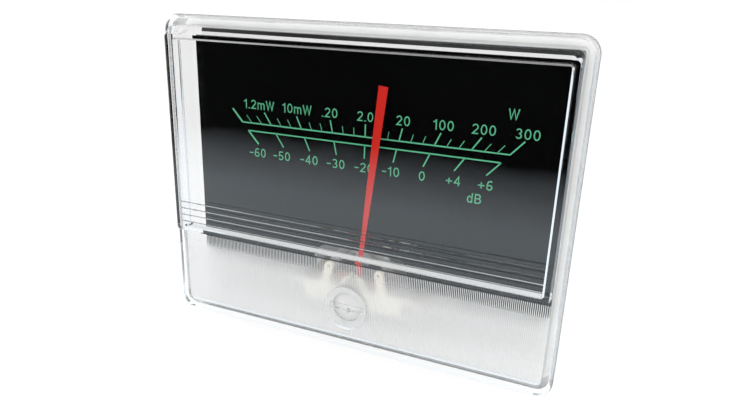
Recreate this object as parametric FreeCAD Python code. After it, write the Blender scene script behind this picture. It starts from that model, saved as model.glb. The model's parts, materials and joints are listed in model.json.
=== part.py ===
"""Panel VU meter with a clear moulded cover and a moving-coil movement.

Frame: X to the right of someone reading the dial, Z up, Y into the meter.
The origin is the centre of the cover's rim, in the plane of the rim's front face,
which is the face that bears on the back of a panel. All sizes are in millimetres.
"""
import FreeCAD, Part
import math
import os

Vector = FreeCAD.Vector
INTO = Vector(0, 1, 0)
UP = Vector(0, 0, 1)

# ---------------------------------------------------------------- driving sizes
# Clear cover
RIM_WIDTH = 90.0
RIM_HEIGHT = 70.0
RIM_THICKNESS = 3.0
RIM_CORNER = 3.5
RIM_EDGE = 0.8
RIM_SIDE_MARGIN = 2.2        # rim left showing beside the face
RIM_TOP_MARGIN = 2.5         # rim left showing above the face
RIM_FOOT_MARGIN = 2.75       # and below it
FACE_PROUD = 0.3             # the lower panel stands this far in front of the rim
FACE_CORNER = 1.2
WINDOW_RAISE = 2.9           # the window stands this far in front of the rim
WINDOW_ABOVE_RIM_FOOT = 21.5 # lower edge of the raised window, above the rim's lower edge
WINDOW_BEVEL_DEPTH = 1.5
WINDOW_SIDE_BEVEL = 0.4
WINDOW_TOP_BEVEL = 1.55
WINDOW_SIDE_WALL = 1.45
WINDOW_TOP_WALL = 2.33
WINDOW_FOOT_WALL = 0.75
PANEL_THICKNESS = 2.0        # of the window and of the lower panel
POCKET_CORNER = 0.8
POCKET_BEVEL = 0.35
SKIRT_STEP = 1.0             # the rim overhangs the skirt by this much
SKIRT_WALL = 1.3
SKIRT_CORNER = 2.5
SKIRT_DEPTH = 8.0
RIB_COUNT = 4
RIB_PITCH = 1.55
RIB_WIDTH = 0.3
RIB_DEPTH = 0.12
RIB_ABOVE_FOOT = 2.8         # lowest cross rib, above the window's lower edge

# Zero adjuster
ADJUSTER_BELOW_AXIS = 3.05   # adjuster axis, below the pointer's axis
ADJUSTER_HEAD_RADIUS = 5.0
ADJUSTER_HEAD_RECESS = 0.5
ADJUSTER_HEAD_BEVEL = 0.25
ADJUSTER_SEAT_DEPTH = 1.2
ADJUSTER_SHAFT_RADIUS = 3.4
ADJUSTER_SLOT_WIDTH = 1.3
ADJUSTER_SLOT_DEPTH = 0.5
ADJUSTER_SLOT_TO_EDGE = 1.0
ADJUSTER_RING_RADIUS = 4.6
ADJUSTER_RING_THICKNESS = 0.6
ECCENTRIC = 1.2
ECCENTRIC_PIN_RADIUS = 0.55

# Dial
DIAL_DEPTH = 8.3             # front face of the dial, behind the rim's front face
DIAL_THICKNESS = 0.8
DIAL_SIDE_MARGIN = 0.3       # beside the dial, inside the skirt
DIAL_TOP_MARGIN = 0.8
DIAL_ABOVE_RIM_FOOT = 14.0
DIAL_CORNER = 1.0
CUTOUT_HALF_WIDTH = 11.5
CUTOUT_ABOVE_AXIS = 7.55
CUTOUT_CORNER = 3.0
DIAL_SCREW_X = 34.0
DIAL_SCREW_ABOVE_FOOT = 3.6
DIAL_SCREW_RADIUS = 0.9
DIAL_SCREW_HEAD_RADIUS = 1.9
DIAL_SCREW_HEAD = 1.0
DIAL_SCREW_LENGTH = 5.0

# Movement
AXIS_ABOVE_RIM_FOOT = 12.95  # pointer axis, above the rim's lower edge
POINTER_ANGLE = 5.9          # at rest, clockwise from upright
POINTER_LENGTH = 45.1
POINTER_TIP_WIDTH = 2.4
POINTER_WAIST_WIDTH = 1.0
POINTER_ROOT_WIDTH = 1.4
POINTER_WAIST_AT = 13.0
POINTER_DISC_RADIUS = 2.3
POINTER_THICKNESS = 0.15
POINTER_BEFORE_DIAL = 1.8    # middle of the blade, in front of the dial
STOP_ANGLE = 44.0            # the pointer stops this far to each side of upright
STOP_RADIUS = 0.6
STOP_AT = 7.5                # stop pins, from the pointer's axis
STOP_PIN_RADIUS = 0.35
STOP_BEYOND_POINTER = 0.4
CORE_RADIUS = 4.6
CORE_BEHIND_DIAL_FACE = 1.0
SUPPORT_HALF_ANGLE = 20.0
YOKE_INNER_RADIUS = 6.6
YOKE_OUTER_RADIUS = 9.0
CORE_BEYOND_YOKE = 0.6       # at each end
FORMER_CLEARANCE = 0.45      # coil former to the core, all round
FORMER_THICKNESS = 0.4
FORMER_WIDTH = 3.4
FORMER_CORNER = 0.3
WINDING_THICKNESS = 0.6
WINDING_WIDTH = 3.0
HUB_RADIUS = 1.0
REAR_HUB_LENGTH = 1.4
HUB_COLLAR_RADIUS = 1.9
PIVOT_RADIUS = 0.3
PIVOT_CONE = 0.26
PIVOT_TIP_RADIUS = 0.09
SIDE_ARM = 6.6               # balance arms, from the pointer's axis
TAIL_ARM = 8.6
BALANCE_ARM_WIDTH = 0.6
BALANCE_ARM_THICKNESS = 0.3
TAIL_WEIGHT_RADIUS = 1.3
TAIL_WEIGHT_LENGTH = 2.1
SIDE_WEIGHT_RADIUS = 0.6
SIDE_WEIGHT_LENGTH = 1.2
WEIGHT_TO_ARM_END = 0.2
SPRING_STRIP = 0.14
SPRING_HEIGHT = 0.3
SPRING_PITCH = 1.1
SPRING_HALF_TURNS = 5
SPRING_INNER_RADIUS = 1.25
SPRING_TO_POINTER = 0.45
SPRING_TAG = 0.4             # thickness and half width of the hook that holds a spring's end
TAG_STRIP = 0.3

# Bridges and frame
BRIDGE_THICKNESS = 1.0
BRIDGE_BOSS_RADIUS = 3.2
BRIDGE_BAR_WIDTH = 4.2
BRIDGE_EAR_WIDTH = 2.0
BRIDGE_EAR_FOOT_X = 7.5
FRONT_POST_X = 13.5
FRONT_POST_BELOW_AXIS = 1.95
FRONT_POST_RADIUS = 1.75
REAR_POST_X = 9.2
REAR_POST_RADIUS = 1.5
POST_SCREW_RADIUS = 0.8
POST_SCREW_HEAD_RADIUS = 1.6
POST_SCREW_HEAD = 0.9
FRONT_POST_SCREW_LENGTH = 4.0
REAR_POST_SCREW_LENGTH = 3.0
POST_SPIGOT_RADIUS = 1.0
SLOT_DEPTH_SHARE = 0.45      # screw slots, as a share of the head's thickness
SLOT_WIDTH_SHARE = 0.28      # and as a share of the head's radius
HOLE_BEYOND_SCREW = 0.3      # blind holes are this much deeper than their screws reach
FRAME_THICKNESS = 1.5
FRAME_BESIDE_SCREW = 3.0
FRAME_TOP_ABOVE_AXIS = 10.6
FRAME_FOOT_BELOW_AXIS = 9.2
FRAME_CORNER = 2.0
FRAME_HOLE_BEYOND_YOKE = 0.2
FRAME_SCREW_RADIUS = 1.1
FRAME_SCREW_HEAD_RADIUS = 2.2
FRAME_SCREW_HEAD = 1.2
FRAME_SCREW_LENGTH = 6.0
BEARING_SHANK_RADIUS = 1.3
BEARING_NECK_RADIUS = 1.5
BEARING_FLANGE_RADIUS = 2.4
BEARING_FLANGE = 0.45
BEARING_SLOT_WIDTH = 0.5
BEARING_SLOT_DEPTH = 0.6
BEARING_CUP_RADIUS = 0.5
BEARING_CUP_DEPTH = 0.7
BEARING_TO_HUB = 0.15
BEARING_BEYOND_BRIDGE = 0.25
PIVOT_END_GAP = 0.1
LEVER_THICKNESS = 0.4
LEVER_WIDTH = 2.2
LEVER_EYE_RADIUS = 2.6
LEVER_FOOT_BEYOND_PIN = 1.2
LEVER_SLOT_CORNER = 0.5
LEVER_SLOT_RUN = 0.4         # room left above the eccentric pin
REAR_SCREW_LENGTH = 3.4
LOCK_NUT_FLATS = 4.0
LOCK_NUT_THICKNESS = 0.9

# Rear housing
HOUSING_DEPTH = 30.0         # rim's front face to the outside of the floor
HOUSING_DRAFT = 1.0          # each side narrows by this much towards the floor
HOUSING_WALL = 1.6
HOUSING_REAR_EDGE = 1.0
FLOOR_THICKNESS = 2.0
LIP_WALL = 1.2
LIP_CLEARANCE = 0.1
COLUMN_X = 18.0
COLUMN_ABOVE_AXIS = 6.0
COLUMN_RADIUS = 3.0
DIAL_COLUMN_RADIUS = 2.2

# Fasteners and terminals
OVERLAP = 0.5                # joined shapes run this far into each other before they are fused
PAST = 1.0                   # cutting shapes run this far past what they cut
RUNNING = 0.05               # radial clearance of turning fits and of screws in holes
FIXED = 0.02                 # radial clearance of pieces that are pressed or screwed fast
SEAT_GAP = 0.05              # end play of turning pieces
MOUNT_STUD_RADIUS = 1.5
MOUNT_STUD_SPACING = 66.0
MOUNT_STUD_PROUD = 11.0
MOUNT_SHOULDER_RADIUS = 2.0
MOUNT_BOSS_RADIUS = 4.0
MOUNT_BOSS_LENGTH = 3.0
MOUNT_HEAD_RADIUS = 2.8
MOUNT_HEAD = 0.8
TERMINAL_RADIUS = 2.0
TERMINAL_SPACING = 25.0
TERMINAL_Z = 4.0
TERMINAL_PROUD = 10.0
TERMINAL_HEAD_FLATS = 7.0
TERMINAL_HEAD = 2.15         # thick, between its strap and the housing's floor
TERMINAL_NUT_FLATS = 7.0
TERMINAL_NUT_THICKNESS = 2.6
TERMINAL_WASHER_RADIUS = 4.2
TERMINAL_WASHER_THICKNESS = 0.6
LUG_THICKNESS = 0.6
LUG_RING_RADIUS = 3.8
LUG_LENGTH = 11.0
LUG_WIDTH = 3.4
LUG_EYE_RADIUS = 0.9
STRAP_WIDTH = 2.4
STRAP_THICKNESS = 0.4

# Lamps
LAMP_SPACING = 52.0
LAMP_Z = 14.0
LAMP_GLASS_RADIUS = 2.6
LAMP_GLASS_LENGTH = 9.0
LAMP_GLASS_EDGE = 1.2
LAMP_CAP_RADIUS = 2.9
LAMP_CAP_LENGTH = 4.0
HOLDER_RADIUS = 4.0
HOLDER_LENGTH = 6.0
HOLDER_FLANGE_RADIUS = 5.5
HOLDER_FLANGE = 1.0
CONTACT_SPACING = 4.4
CONTACT_WIDTH = 2.4
CONTACT_THICKNESS = 0.5
CONTACT_PROUD = 6.5

# ---------------------------------------------------------------- derived places
RIM_FOOT = -RIM_HEIGHT / 2
AXIS_Z = RIM_FOOT + AXIS_ABOVE_RIM_FOOT
WINDOW_FOOT = RIM_FOOT + WINDOW_ABOVE_RIM_FOOT
DIAL_FOOT = RIM_FOOT + DIAL_ABOVE_RIM_FOOT
CUTOUT_TOP = AXIS_Z + CUTOUT_ABOVE_AXIS
FACE_WIDTH = RIM_WIDTH - 2 * RIM_SIDE_MARGIN
FACE_TOP = RIM_HEIGHT / 2 - RIM_TOP_MARGIN
FACE_FOOT = RIM_FOOT + RIM_FOOT_MARGIN
WINDOW_FRONT = -WINDOW_RAISE
WINDOW_REAR = WINDOW_FRONT + PANEL_THICKNESS
PANEL_FRONT = -FACE_PROUD
PANEL_REAR = PANEL_FRONT + PANEL_THICKNESS
SKIRT_WIDTH = RIM_WIDTH - 2 * SKIRT_STEP
SKIRT_HEIGHT = RIM_HEIGHT - 2 * SKIRT_STEP
SKIRT_REAR = RIM_THICKNESS + SKIRT_DEPTH
CAVITY_WIDTH = SKIRT_WIDTH - 2 * SKIRT_WALL
CAVITY_HEIGHT = SKIRT_HEIGHT - 2 * SKIRT_WALL
CAVITY_CORNER = SKIRT_CORNER - SKIRT_WALL
DIAL_REAR = DIAL_DEPTH + DIAL_THICKNESS
DIAL_WIDTH = CAVITY_WIDTH - 2 * DIAL_SIDE_MARGIN
DIAL_TOP = CAVITY_HEIGHT / 2 - DIAL_TOP_MARGIN
DIAL_SCREW_Z = DIAL_FOOT + DIAL_SCREW_ABOVE_FOOT
ADJUSTER_Z = AXIS_Z - ADJUSTER_BELOW_AXIS
ADJUSTER_SEAT = PANEL_FRONT + ADJUSTER_SEAT_DEPTH
ADJUSTER_RING_FRONT = PANEL_REAR + SEAT_GAP
ADJUSTER_SHAFT_END = ADJUSTER_RING_FRONT + ADJUSTER_RING_THICKNESS

POINTER_FRONT = DIAL_DEPTH - POINTER_BEFORE_DIAL - POINTER_THICKNESS / 2
POINTER_REAR = POINTER_FRONT + POINTER_THICKNESS
CROSS_REAR = POINTER_REAR + BALANCE_ARM_THICKNESS
FRONT_SPRING_FRONT = POINTER_FRONT - SPRING_TO_POINTER - SPRING_HEIGHT
HUB_FRONT = FRONT_SPRING_FRONT - SEAT_GAP
BEARING_REAR = HUB_FRONT - BEARING_TO_HUB
FRONT_BRIDGE_REAR = BEARING_REAR - BEARING_BEYOND_BRIDGE
FRONT_BRIDGE_FRONT = FRONT_BRIDGE_REAR - BRIDGE_THICKNESS
LEVER_REAR = FRONT_BRIDGE_FRONT - SEAT_GAP
LEVER_FRONT = LEVER_REAR - LEVER_THICKNESS
BEARING_FLANGE_REAR = LEVER_FRONT - SEAT_GAP
PIN_END = LEVER_REAR
PIN_Z = ADJUSTER_Z - ECCENTRIC

FLOOR_OUTSIDE = HOUSING_DEPTH
FLOOR_INSIDE = FLOOR_OUTSIDE - FLOOR_THICKNESS
STRAP_REAR = FLOOR_INSIDE - TERMINAL_HEAD
STRAP_FRONT = STRAP_REAR - STRAP_THICKNESS
REAR_BRIDGE_REAR = STRAP_FRONT - POST_SCREW_HEAD
REAR_BRIDGE_FRONT = REAR_BRIDGE_REAR - BRIDGE_THICKNESS
REAR_BEARING_FRONT = REAR_BRIDGE_FRONT - BEARING_BEYOND_BRIDGE
COIL_REAR = REAR_BEARING_FRONT - BEARING_TO_HUB - REAR_HUB_LENGTH
REAR_SPRING_FRONT = COIL_REAR + REAR_HUB_LENGTH - SPRING_HEIGHT

CORE_FRONT = DIAL_DEPTH + CORE_BEHIND_DIAL_FACE
CORE_REAR = COIL_REAR - FORMER_CLEARANCE - FORMER_THICKNESS - WINDING_THICKNESS
FORMER_INNER = CORE_RADIUS + FORMER_CLEARANCE
FORMER_OUTER = FORMER_INNER + FORMER_THICKNESS
WINDING_OUTER = FORMER_OUTER + WINDING_THICKNESS
COIL_FRONT = CORE_FRONT - FORMER_CLEARANCE - FORMER_THICKNESS - WINDING_THICKNESS
YOKE_FRONT = CORE_FRONT + CORE_BEYOND_YOKE
YOKE_REAR = CORE_REAR - CORE_BEYOND_YOKE
FRAME_FRONT = YOKE_REAR
FRAME_REAR = FRAME_FRONT + FRAME_THICKNESS
FRONT_POST_Z = AXIS_Z - FRONT_POST_BELOW_AXIS
SPRING_OUTER_RADIUS = SPRING_INNER_RADIUS + SPRING_PITCH * SPRING_HALF_TURNS / 2
TAG_FOOT = AXIS_Z + SPRING_OUTER_RADIUS + SPRING_STRIP / 2
TAG_TOP = TAG_FOOT + SPRING_TAG

LIP_WIDTH = CAVITY_WIDTH - 2 * LIP_CLEARANCE
LIP_HEIGHT = CAVITY_HEIGHT - 2 * LIP_CLEARANCE
COLUMN_Z = AXIS_Z + COLUMN_ABOVE_AXIS
MOUNT_BOSS_FRONT = FLOOR_INSIDE - MOUNT_BOSS_LENGTH
TERMINAL_NUT_FRONT = FLOOR_OUTSIDE + TERMINAL_WASHER_THICKNESS
LUG_FRONT = TERMINAL_NUT_FRONT + TERMINAL_NUT_THICKNESS
LUG_REAR = LUG_FRONT + LUG_THICKNESS
HOLDER_FRONT = FLOOR_INSIDE - HOLDER_LENGTH
LAMP_SEAT = HOLDER_FRONT + LAMP_CAP_LENGTH


# ---------------------------------------------------------------- plain shapes
def cylinder(x, z, radius, front, rear):
    """A round bar along Y."""
    return Part.makeCylinder(radius, rear - front, Vector(x, front, z), INTO)


def ring(x, z, inner, outer, front, rear):
    return cylinder(x, z, outer, front, rear).cut(cylinder(x, z, inner, front - PAST, rear + PAST))


def block(x_low, x_high, front, rear, z_low, z_high):
    corner = Vector(x_low, front, z_low)
    return Part.makeBox(x_high - x_low, rear - front, z_high - z_low, corner)


def prism(points, front, rear):
    """An upright outline of (x, z) points, extruded along Y."""
    corners = [Vector(x, front, z) for x, z in points]
    face = Part.Face(Part.makePolygon(corners + corners[:1]))
    return face.extrude(Vector(0, rear - front, 0))


def hexagon(x, z, flats, front, rear):
    reach = flats / math.sqrt(3)
    turns = [math.radians(60 * i) for i in range(6)]
    return prism([(x + reach * math.cos(t), z + reach * math.sin(t)) for t in turns], front, rear)


def rounded_outline(x_low, x_high, z_low, z_high, radius, y):
    """A closed wire: an upright rectangle with round corners."""
    r = radius
    k = r * (1 - math.sqrt(0.5))
    starts = [(x_low, z_low + r), (x_low + r, z_high), (x_high, z_high - r), (x_high - r, z_low)]
    mids = [
        (x_low + k, z_high - k), (x_high - k, z_high - k),
        (x_high - k, z_low + k), (x_low + k, z_low + k),
    ]
    ends = [(x_low, z_high - r), (x_high - r, z_high), (x_high, z_low + r), (x_low + r, z_low)]
    edges = []
    for i in range(4):
        start = Vector(starts[i][0], y, starts[i][1])
        side_end = Vector(ends[i][0], y, ends[i][1])
        middle = Vector(mids[i][0], y, mids[i][1])
        nxt = starts[(i + 1) % 4]
        arc_end = Vector(nxt[0], y, nxt[1])
        edges.append(Part.makeLine(start, side_end))
        edges.append(Part.Arc(side_end, middle, arc_end).toShape())
    return Part.Wire(edges)


def rounded_block(x_low, x_high, z_low, z_high, radius, front, rear):
    face = Part.Face(rounded_outline(x_low, x_high, z_low, z_high, radius, front))
    return face.extrude(Vector(0, rear - front, 0))


def centred_block(width, height, radius, front, rear):
    return rounded_block(-width / 2, width / 2, -height / 2, height / 2, radius, front, rear)


def tapered_block(width, height, radius, front, rear, narrowing):
    """As centred_block, each side narrowing evenly towards the rear."""
    right = width / 2
    top = height / 2
    wedge = Part.makeWedge(
        -right, front, -top, narrowing - top, narrowing - right,
        right, rear, top, top - narrowing, right - narrowing)
    long_edges = [edge for edge in wedge.Edges if edge.BoundBox.YLength > 1e-3]
    return wedge.makeFillet(radius, long_edges)


def edges_in_plane(shape, y):
    """The edges that lie wholly in the plane at this depth."""
    found = []
    for edge in shape.Edges:
        box = edge.BoundBox
        if abs(box.YMin - y) < 1e-4 and abs(box.YMax - y) < 1e-4:
            found.append(edge)
    return found


def union(shapes):
    whole = shapes[0].fuse(shapes[1:])
    return whole.removeSplitter()


def sides(make):
    """The two mirror-image copies of what stands at +X and -X."""
    return Part.makeCompound([make(1), make(-1)])


def screw(x, z, seat, head_radius, head, shank_radius, length, inwards=1):
    """A slotted pan-head screw. Its head bears on the plane at seat."""
    top = seat - inwards * head
    end = seat + inwards * length
    low, high = sorted((top, seat))
    body = cylinder(x, z, head_radius, low, high)
    low, high = sorted((seat, end))
    body = body.fuse(cylinder(x, z, shank_radius, low, high)).removeSplitter()
    slot_floor = top + inwards * head * SLOT_DEPTH_SHARE
    low, high = sorted((top - inwards, slot_floor))
    half = head_radius * SLOT_WIDTH_SHARE / 2
    slot = block(x - 2 * head_radius, x + 2 * head_radius, low, high, z - half, z + half)
    return body.cut(slot)


def nut(x, z, flats, bore, front, thickness):
    rear = front + thickness
    body = hexagon(x, z, flats, front, rear)
    return body.cut(cylinder(x, z, bore + FIXED, front - PAST, rear + PAST))


# ---------------------------------------------------------------- clear cover
def bevelled_window():
    """The raised window block, its edges bevelled towards the front."""
    side = FACE_WIDTH / 2
    shoulder = WINDOW_FRONT + WINDOW_BEVEL_DEPTH
    base = rounded_block(
        -side, side, WINDOW_FOOT, FACE_TOP, FACE_CORNER, shoulder, PANEL_REAR - OVERLAP)
    near = rounded_outline(-side, side, WINDOW_FOOT, FACE_TOP, FACE_CORNER, shoulder)
    inset = side - WINDOW_SIDE_BEVEL
    foot = WINDOW_FOOT + WINDOW_SIDE_BEVEL
    head = FACE_TOP - WINDOW_TOP_BEVEL
    front = rounded_outline(-inset, inset, foot, head, FACE_CORNER - WINDOW_SIDE_BEVEL, WINDOW_FRONT)
    return base.fuse(Part.makeLoft([near, front], True, True))


def window_pocket():
    """The hollow inside the raised window, bevelled where its sides meet the pane."""
    side = FACE_WIDTH / 2 - WINDOW_SIDE_WALL
    foot = WINDOW_FOOT + WINDOW_FOOT_WALL
    head = FACE_TOP - WINDOW_TOP_WALL
    pocket = rounded_block(-side, side, foot, head, POCKET_CORNER, WINDOW_REAR, PANEL_REAR + OVERLAP)
    return pocket.makeChamfer(POCKET_BEVEL, edges_in_plane(pocket, WINDOW_REAR))


def cross_ribs():
    """Fine grooves across the foot of the window."""
    side = FACE_WIDTH / 2 - WINDOW_SIDE_WALL
    grooves = []
    for i in range(RIB_COUNT):
        z = WINDOW_FOOT + RIB_ABOVE_FOOT + i * RIB_PITCH
        corners = [
            Vector(-side, WINDOW_FRONT - RIB_DEPTH, z - RIB_WIDTH),
            Vector(-side, WINDOW_FRONT - RIB_DEPTH, z + RIB_WIDTH),
            Vector(-side, WINDOW_FRONT + RIB_DEPTH, z),
        ]
        face = Part.Face(Part.makePolygon(corners + corners[:1]))
        grooves.append(face.extrude(Vector(2 * side, 0, 0)))
    return Part.makeCompound(grooves)


def front_cover():
    rim = centred_block(RIM_WIDTH, RIM_HEIGHT, RIM_CORNER, 0, RIM_THICKNESS)
    rim = rim.makeFillet(RIM_EDGE, edges_in_plane(rim, 0))
    skirt = centred_block(SKIRT_WIDTH, SKIRT_HEIGHT, SKIRT_CORNER, RIM_THICKNESS / 2, SKIRT_REAR)
    side = FACE_WIDTH / 2
    panel = rounded_block(-side, side, FACE_FOOT, FACE_TOP, FACE_CORNER, PANEL_FRONT, PANEL_REAR)
    body = union([rim, skirt, panel])
    cavity = centred_block(CAVITY_WIDTH, CAVITY_HEIGHT, CAVITY_CORNER, PANEL_REAR, SKIRT_REAR + PAST)
    body = body.cut(cavity)
    body = union([body, bevelled_window()])
    body = body.cut(window_pocket())
    body = body.cut(cross_ribs())
    seat = cylinder(0, ADJUSTER_Z, ADJUSTER_HEAD_RADIUS + RUNNING, PANEL_FRONT - PAST, ADJUSTER_SEAT)
    bore = cylinder(0, ADJUSTER_Z, ADJUSTER_SHAFT_RADIUS + RUNNING, PANEL_FRONT, PANEL_REAR + PAST)
    return body.cut(seat).cut(bore)


# ---------------------------------------------------------------- zero adjuster
def zero_adjuster():
    """Slotted clear screw with an eccentric pin at its back."""
    front = PANEL_FRONT + ADJUSTER_HEAD_RECESS
    rear = ADJUSTER_SEAT - SEAT_GAP
    head = cylinder(0, ADJUSTER_Z, ADJUSTER_HEAD_RADIUS, front, rear)
    head = head.makeChamfer(ADJUSTER_HEAD_BEVEL, edges_in_plane(head, front))
    shaft = cylinder(0, ADJUSTER_Z, ADJUSTER_SHAFT_RADIUS, rear, ADJUSTER_SHAFT_END)
    pin = cylinder(0, PIN_Z, ECCENTRIC_PIN_RADIUS, ADJUSTER_SHAFT_END, PIN_END - SEAT_GAP)
    body = union([head, shaft, pin])
    half = ADJUSTER_SLOT_WIDTH / 2
    reach = ADJUSTER_HEAD_RADIUS - ADJUSTER_SLOT_TO_EDGE
    slot = block(
        -reach, reach, front - PAST, front + ADJUSTER_SLOT_DEPTH, ADJUSTER_Z - half, ADJUSTER_Z + half)
    return body.cut(slot)


def adjuster_ring():
    """Push-on ring that holds the adjuster in the panel."""
    return ring(
        0, ADJUSTER_Z, ADJUSTER_SHAFT_RADIUS + FIXED, ADJUSTER_RING_RADIUS,
        ADJUSTER_RING_FRONT, ADJUSTER_SHAFT_END)


# ---------------------------------------------------------------- dial
def dial_plate():
    half = DIAL_WIDTH / 2
    plate = rounded_block(-half, half, DIAL_FOOT, DIAL_TOP, DIAL_CORNER, DIAL_DEPTH, DIAL_REAR)
    notch = rounded_block(
        -CUTOUT_HALF_WIDTH, CUTOUT_HALF_WIDTH, DIAL_FOOT - 2 * CUTOUT_CORNER, CUTOUT_TOP,
        CUTOUT_CORNER, DIAL_DEPTH - PAST, DIAL_REAR + PAST)
    plate = plate.cut(notch)
    for side in (1, -1):
        hole = cylinder(
            side * DIAL_SCREW_X, DIAL_SCREW_Z, DIAL_SCREW_RADIUS + RUNNING,
            DIAL_DEPTH - PAST, DIAL_REAR + PAST)
        plate = plate.cut(hole)
    return plate


def dial_screws():
    return sides(lambda side: screw(
        side * DIAL_SCREW_X, DIAL_SCREW_Z, DIAL_DEPTH,
        DIAL_SCREW_HEAD_RADIUS, DIAL_SCREW_HEAD, DIAL_SCREW_RADIUS, DIAL_SCREW_LENGTH))


# ---------------------------------------------------------------- moving coil
def turned(shape, degrees=None):
    """Turned about the pointer's axis, by the pointer's rest angle if not told otherwise."""
    angle = POINTER_ANGLE if degrees is None else degrees
    copy = shape.copy()
    copy.rotate(Vector(0, 0, AXIS_Z), INTO, angle)
    return copy


def coil_ring(inner_side, outer_side, inner_end, outer_end, width, corner):
    """A rectangular loop round the core, in the plane of the pointer's axis and X."""
    def slab(side, end, half_width):
        shape = block(
            -side, side, CORE_FRONT - end, CORE_REAR + end, AXIS_Z - half_width, AXIS_Z + half_width)
        upright = [
            edge for edge in shape.Edges
            if edge.BoundBox.ZLength > 1e-3 and edge.BoundBox.YLength < 1e-3
        ]
        return shape.makeFillet(corner, upright)

    return slab(outer_side, outer_end, width / 2).cut(slab(inner_side, inner_end, width))


def coil_former():
    end = FORMER_CLEARANCE
    return turned(coil_ring(
        FORMER_INNER, FORMER_OUTER - FIXED / 2, end, end + FORMER_THICKNESS - FIXED / 2,
        FORMER_WIDTH, FORMER_CORNER))


def coil_winding():
    end = FORMER_CLEARANCE + FORMER_THICKNESS
    return turned(coil_ring(
        FORMER_OUTER, WINDING_OUTER, end, end + WINDING_THICKNESS, WINDING_WIDTH, FORMER_CORNER))


def coil_hubs():
    front = cylinder(0, AXIS_Z, HUB_RADIUS, HUB_FRONT, COIL_FRONT)
    rear = cylinder(0, AXIS_Z, HUB_RADIUS, COIL_REAR, COIL_REAR + REAR_HUB_LENGTH)
    return Part.makeCompound([front, rear])


def coil_pivots():
    """Fine steel pivots with conical ends, one in each jewel."""
    reach = BEARING_TO_HUB + BEARING_CUP_DEPTH - PIVOT_END_GAP
    straight = reach - PIVOT_CONE
    back = Vector(0, -1, 0)
    front = Part.makeCylinder(PIVOT_RADIUS, straight, Vector(0, HUB_FRONT, AXIS_Z), back)
    front = front.fuse(Part.makeCone(
        PIVOT_RADIUS, PIVOT_TIP_RADIUS, PIVOT_CONE, Vector(0, HUB_FRONT - straight, AXIS_Z), back))
    hub_end = COIL_REAR + REAR_HUB_LENGTH
    rear = Part.makeCylinder(PIVOT_RADIUS, straight, Vector(0, hub_end, AXIS_Z), INTO)
    rear = rear.fuse(Part.makeCone(
        PIVOT_RADIUS, PIVOT_TIP_RADIUS, PIVOT_CONE, Vector(0, hub_end + straight, AXIS_Z), INTO))
    return Part.makeCompound([front.removeSplitter(), rear.removeSplitter()])


def pointer():
    """Flat blade, narrow at the waist and broad at its square tip, on a round root."""
    root = POINTER_DISC_RADIUS - OVERLAP
    tip = POINTER_LENGTH
    waist = POINTER_WAIST_AT
    outline = [
        (-POINTER_ROOT_WIDTH / 2, root), (-POINTER_WAIST_WIDTH / 2, waist),
        (-POINTER_TIP_WIDTH / 2, tip), (POINTER_TIP_WIDTH / 2, tip),
        (POINTER_WAIST_WIDTH / 2, waist), (POINTER_ROOT_WIDTH / 2, root),
    ]
    blade = prism([(x, AXIS_Z + z) for x, z in outline], POINTER_FRONT, POINTER_REAR)
    disc = cylinder(0, AXIS_Z, POINTER_DISC_RADIUS, POINTER_FRONT, POINTER_REAR)
    eye = cylinder(0, AXIS_Z, HUB_RADIUS + FIXED, POINTER_FRONT - PAST, POINTER_REAR + PAST)
    return turned(union([blade, disc]).cut(eye))


BALANCE = [
    (TAIL_ARM, 180, TAIL_WEIGHT_RADIUS, TAIL_WEIGHT_LENGTH),
    (SIDE_ARM, 90, SIDE_WEIGHT_RADIUS, SIDE_WEIGHT_LENGTH),
    (SIDE_ARM, -90, SIDE_WEIGHT_RADIUS, SIDE_WEIGHT_LENGTH),
]


def balance_arm(reach, direction, clearance=0):
    """A thin arm that points from the pointer's axis, turned from the blade's direction."""
    half = BALANCE_ARM_WIDTH / 2 + clearance
    front = POINTER_REAR - clearance
    start = AXIS_Z + HUB_COLLAR_RADIUS - OVERLAP
    arm = block(-half, half, front, CROSS_REAR + clearance, start, AXIS_Z + reach)
    return turned(arm, POINTER_ANGLE + direction)


def balance_cross():
    centre = ring(0, AXIS_Z, HUB_RADIUS + FIXED, HUB_COLLAR_RADIUS, POINTER_REAR, CROSS_REAR)
    return union([centre] + [balance_arm(reach, way) for reach, way, _, _ in BALANCE])


def balance_weights():
    """Round weights threaded on the arms, each a little way from its arm's end."""
    depth = (POINTER_REAR + CROSS_REAR) / 2
    weights = []
    for reach, way, radius, length in BALANCE:
        start = Vector(0, depth, AXIS_Z + reach - length - WEIGHT_TO_ARM_END)
        weight = turned(Part.makeCylinder(radius, length, start, UP), POINTER_ANGLE + way)
        weights.append(weight.cut(balance_arm(reach, way, FIXED)))
    return Part.makeCompound(weights)


def hairspring(front):
    """A flat spiral of half turns, its outer end straight above the pointer's axis."""
    growth = SPRING_PITCH / 2
    inner = []
    outer = []
    for i in range(SPRING_HALF_TURNS):
        side = -1 if (SPRING_HALF_TURNS - i) % 2 else 1
        radius = SPRING_INNER_RADIUS + growth * (i + 0.5)
        centre = AXIS_Z - side * growth / 2
        for edges, r in ((inner, radius - SPRING_STRIP / 2), (outer, radius + SPRING_STRIP / 2)):
            start = Vector(0, front, centre + side * r)
            middle = Vector(side * r, front, centre)
            end = Vector(0, front, centre - side * r)
            edges.append(Part.Arc(start, middle, end).toShape())
    first = Part.makeLine(inner[0].Vertexes[0].Point, outer[0].Vertexes[0].Point)
    last = Part.makeLine(inner[-1].Vertexes[-1].Point, outer[-1].Vertexes[-1].Point)
    wire = Part.Wire(inner + [last] + outer[::-1] + [first])
    return Part.Face(wire).extrude(Vector(0, SPRING_HEIGHT, 0))


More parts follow.
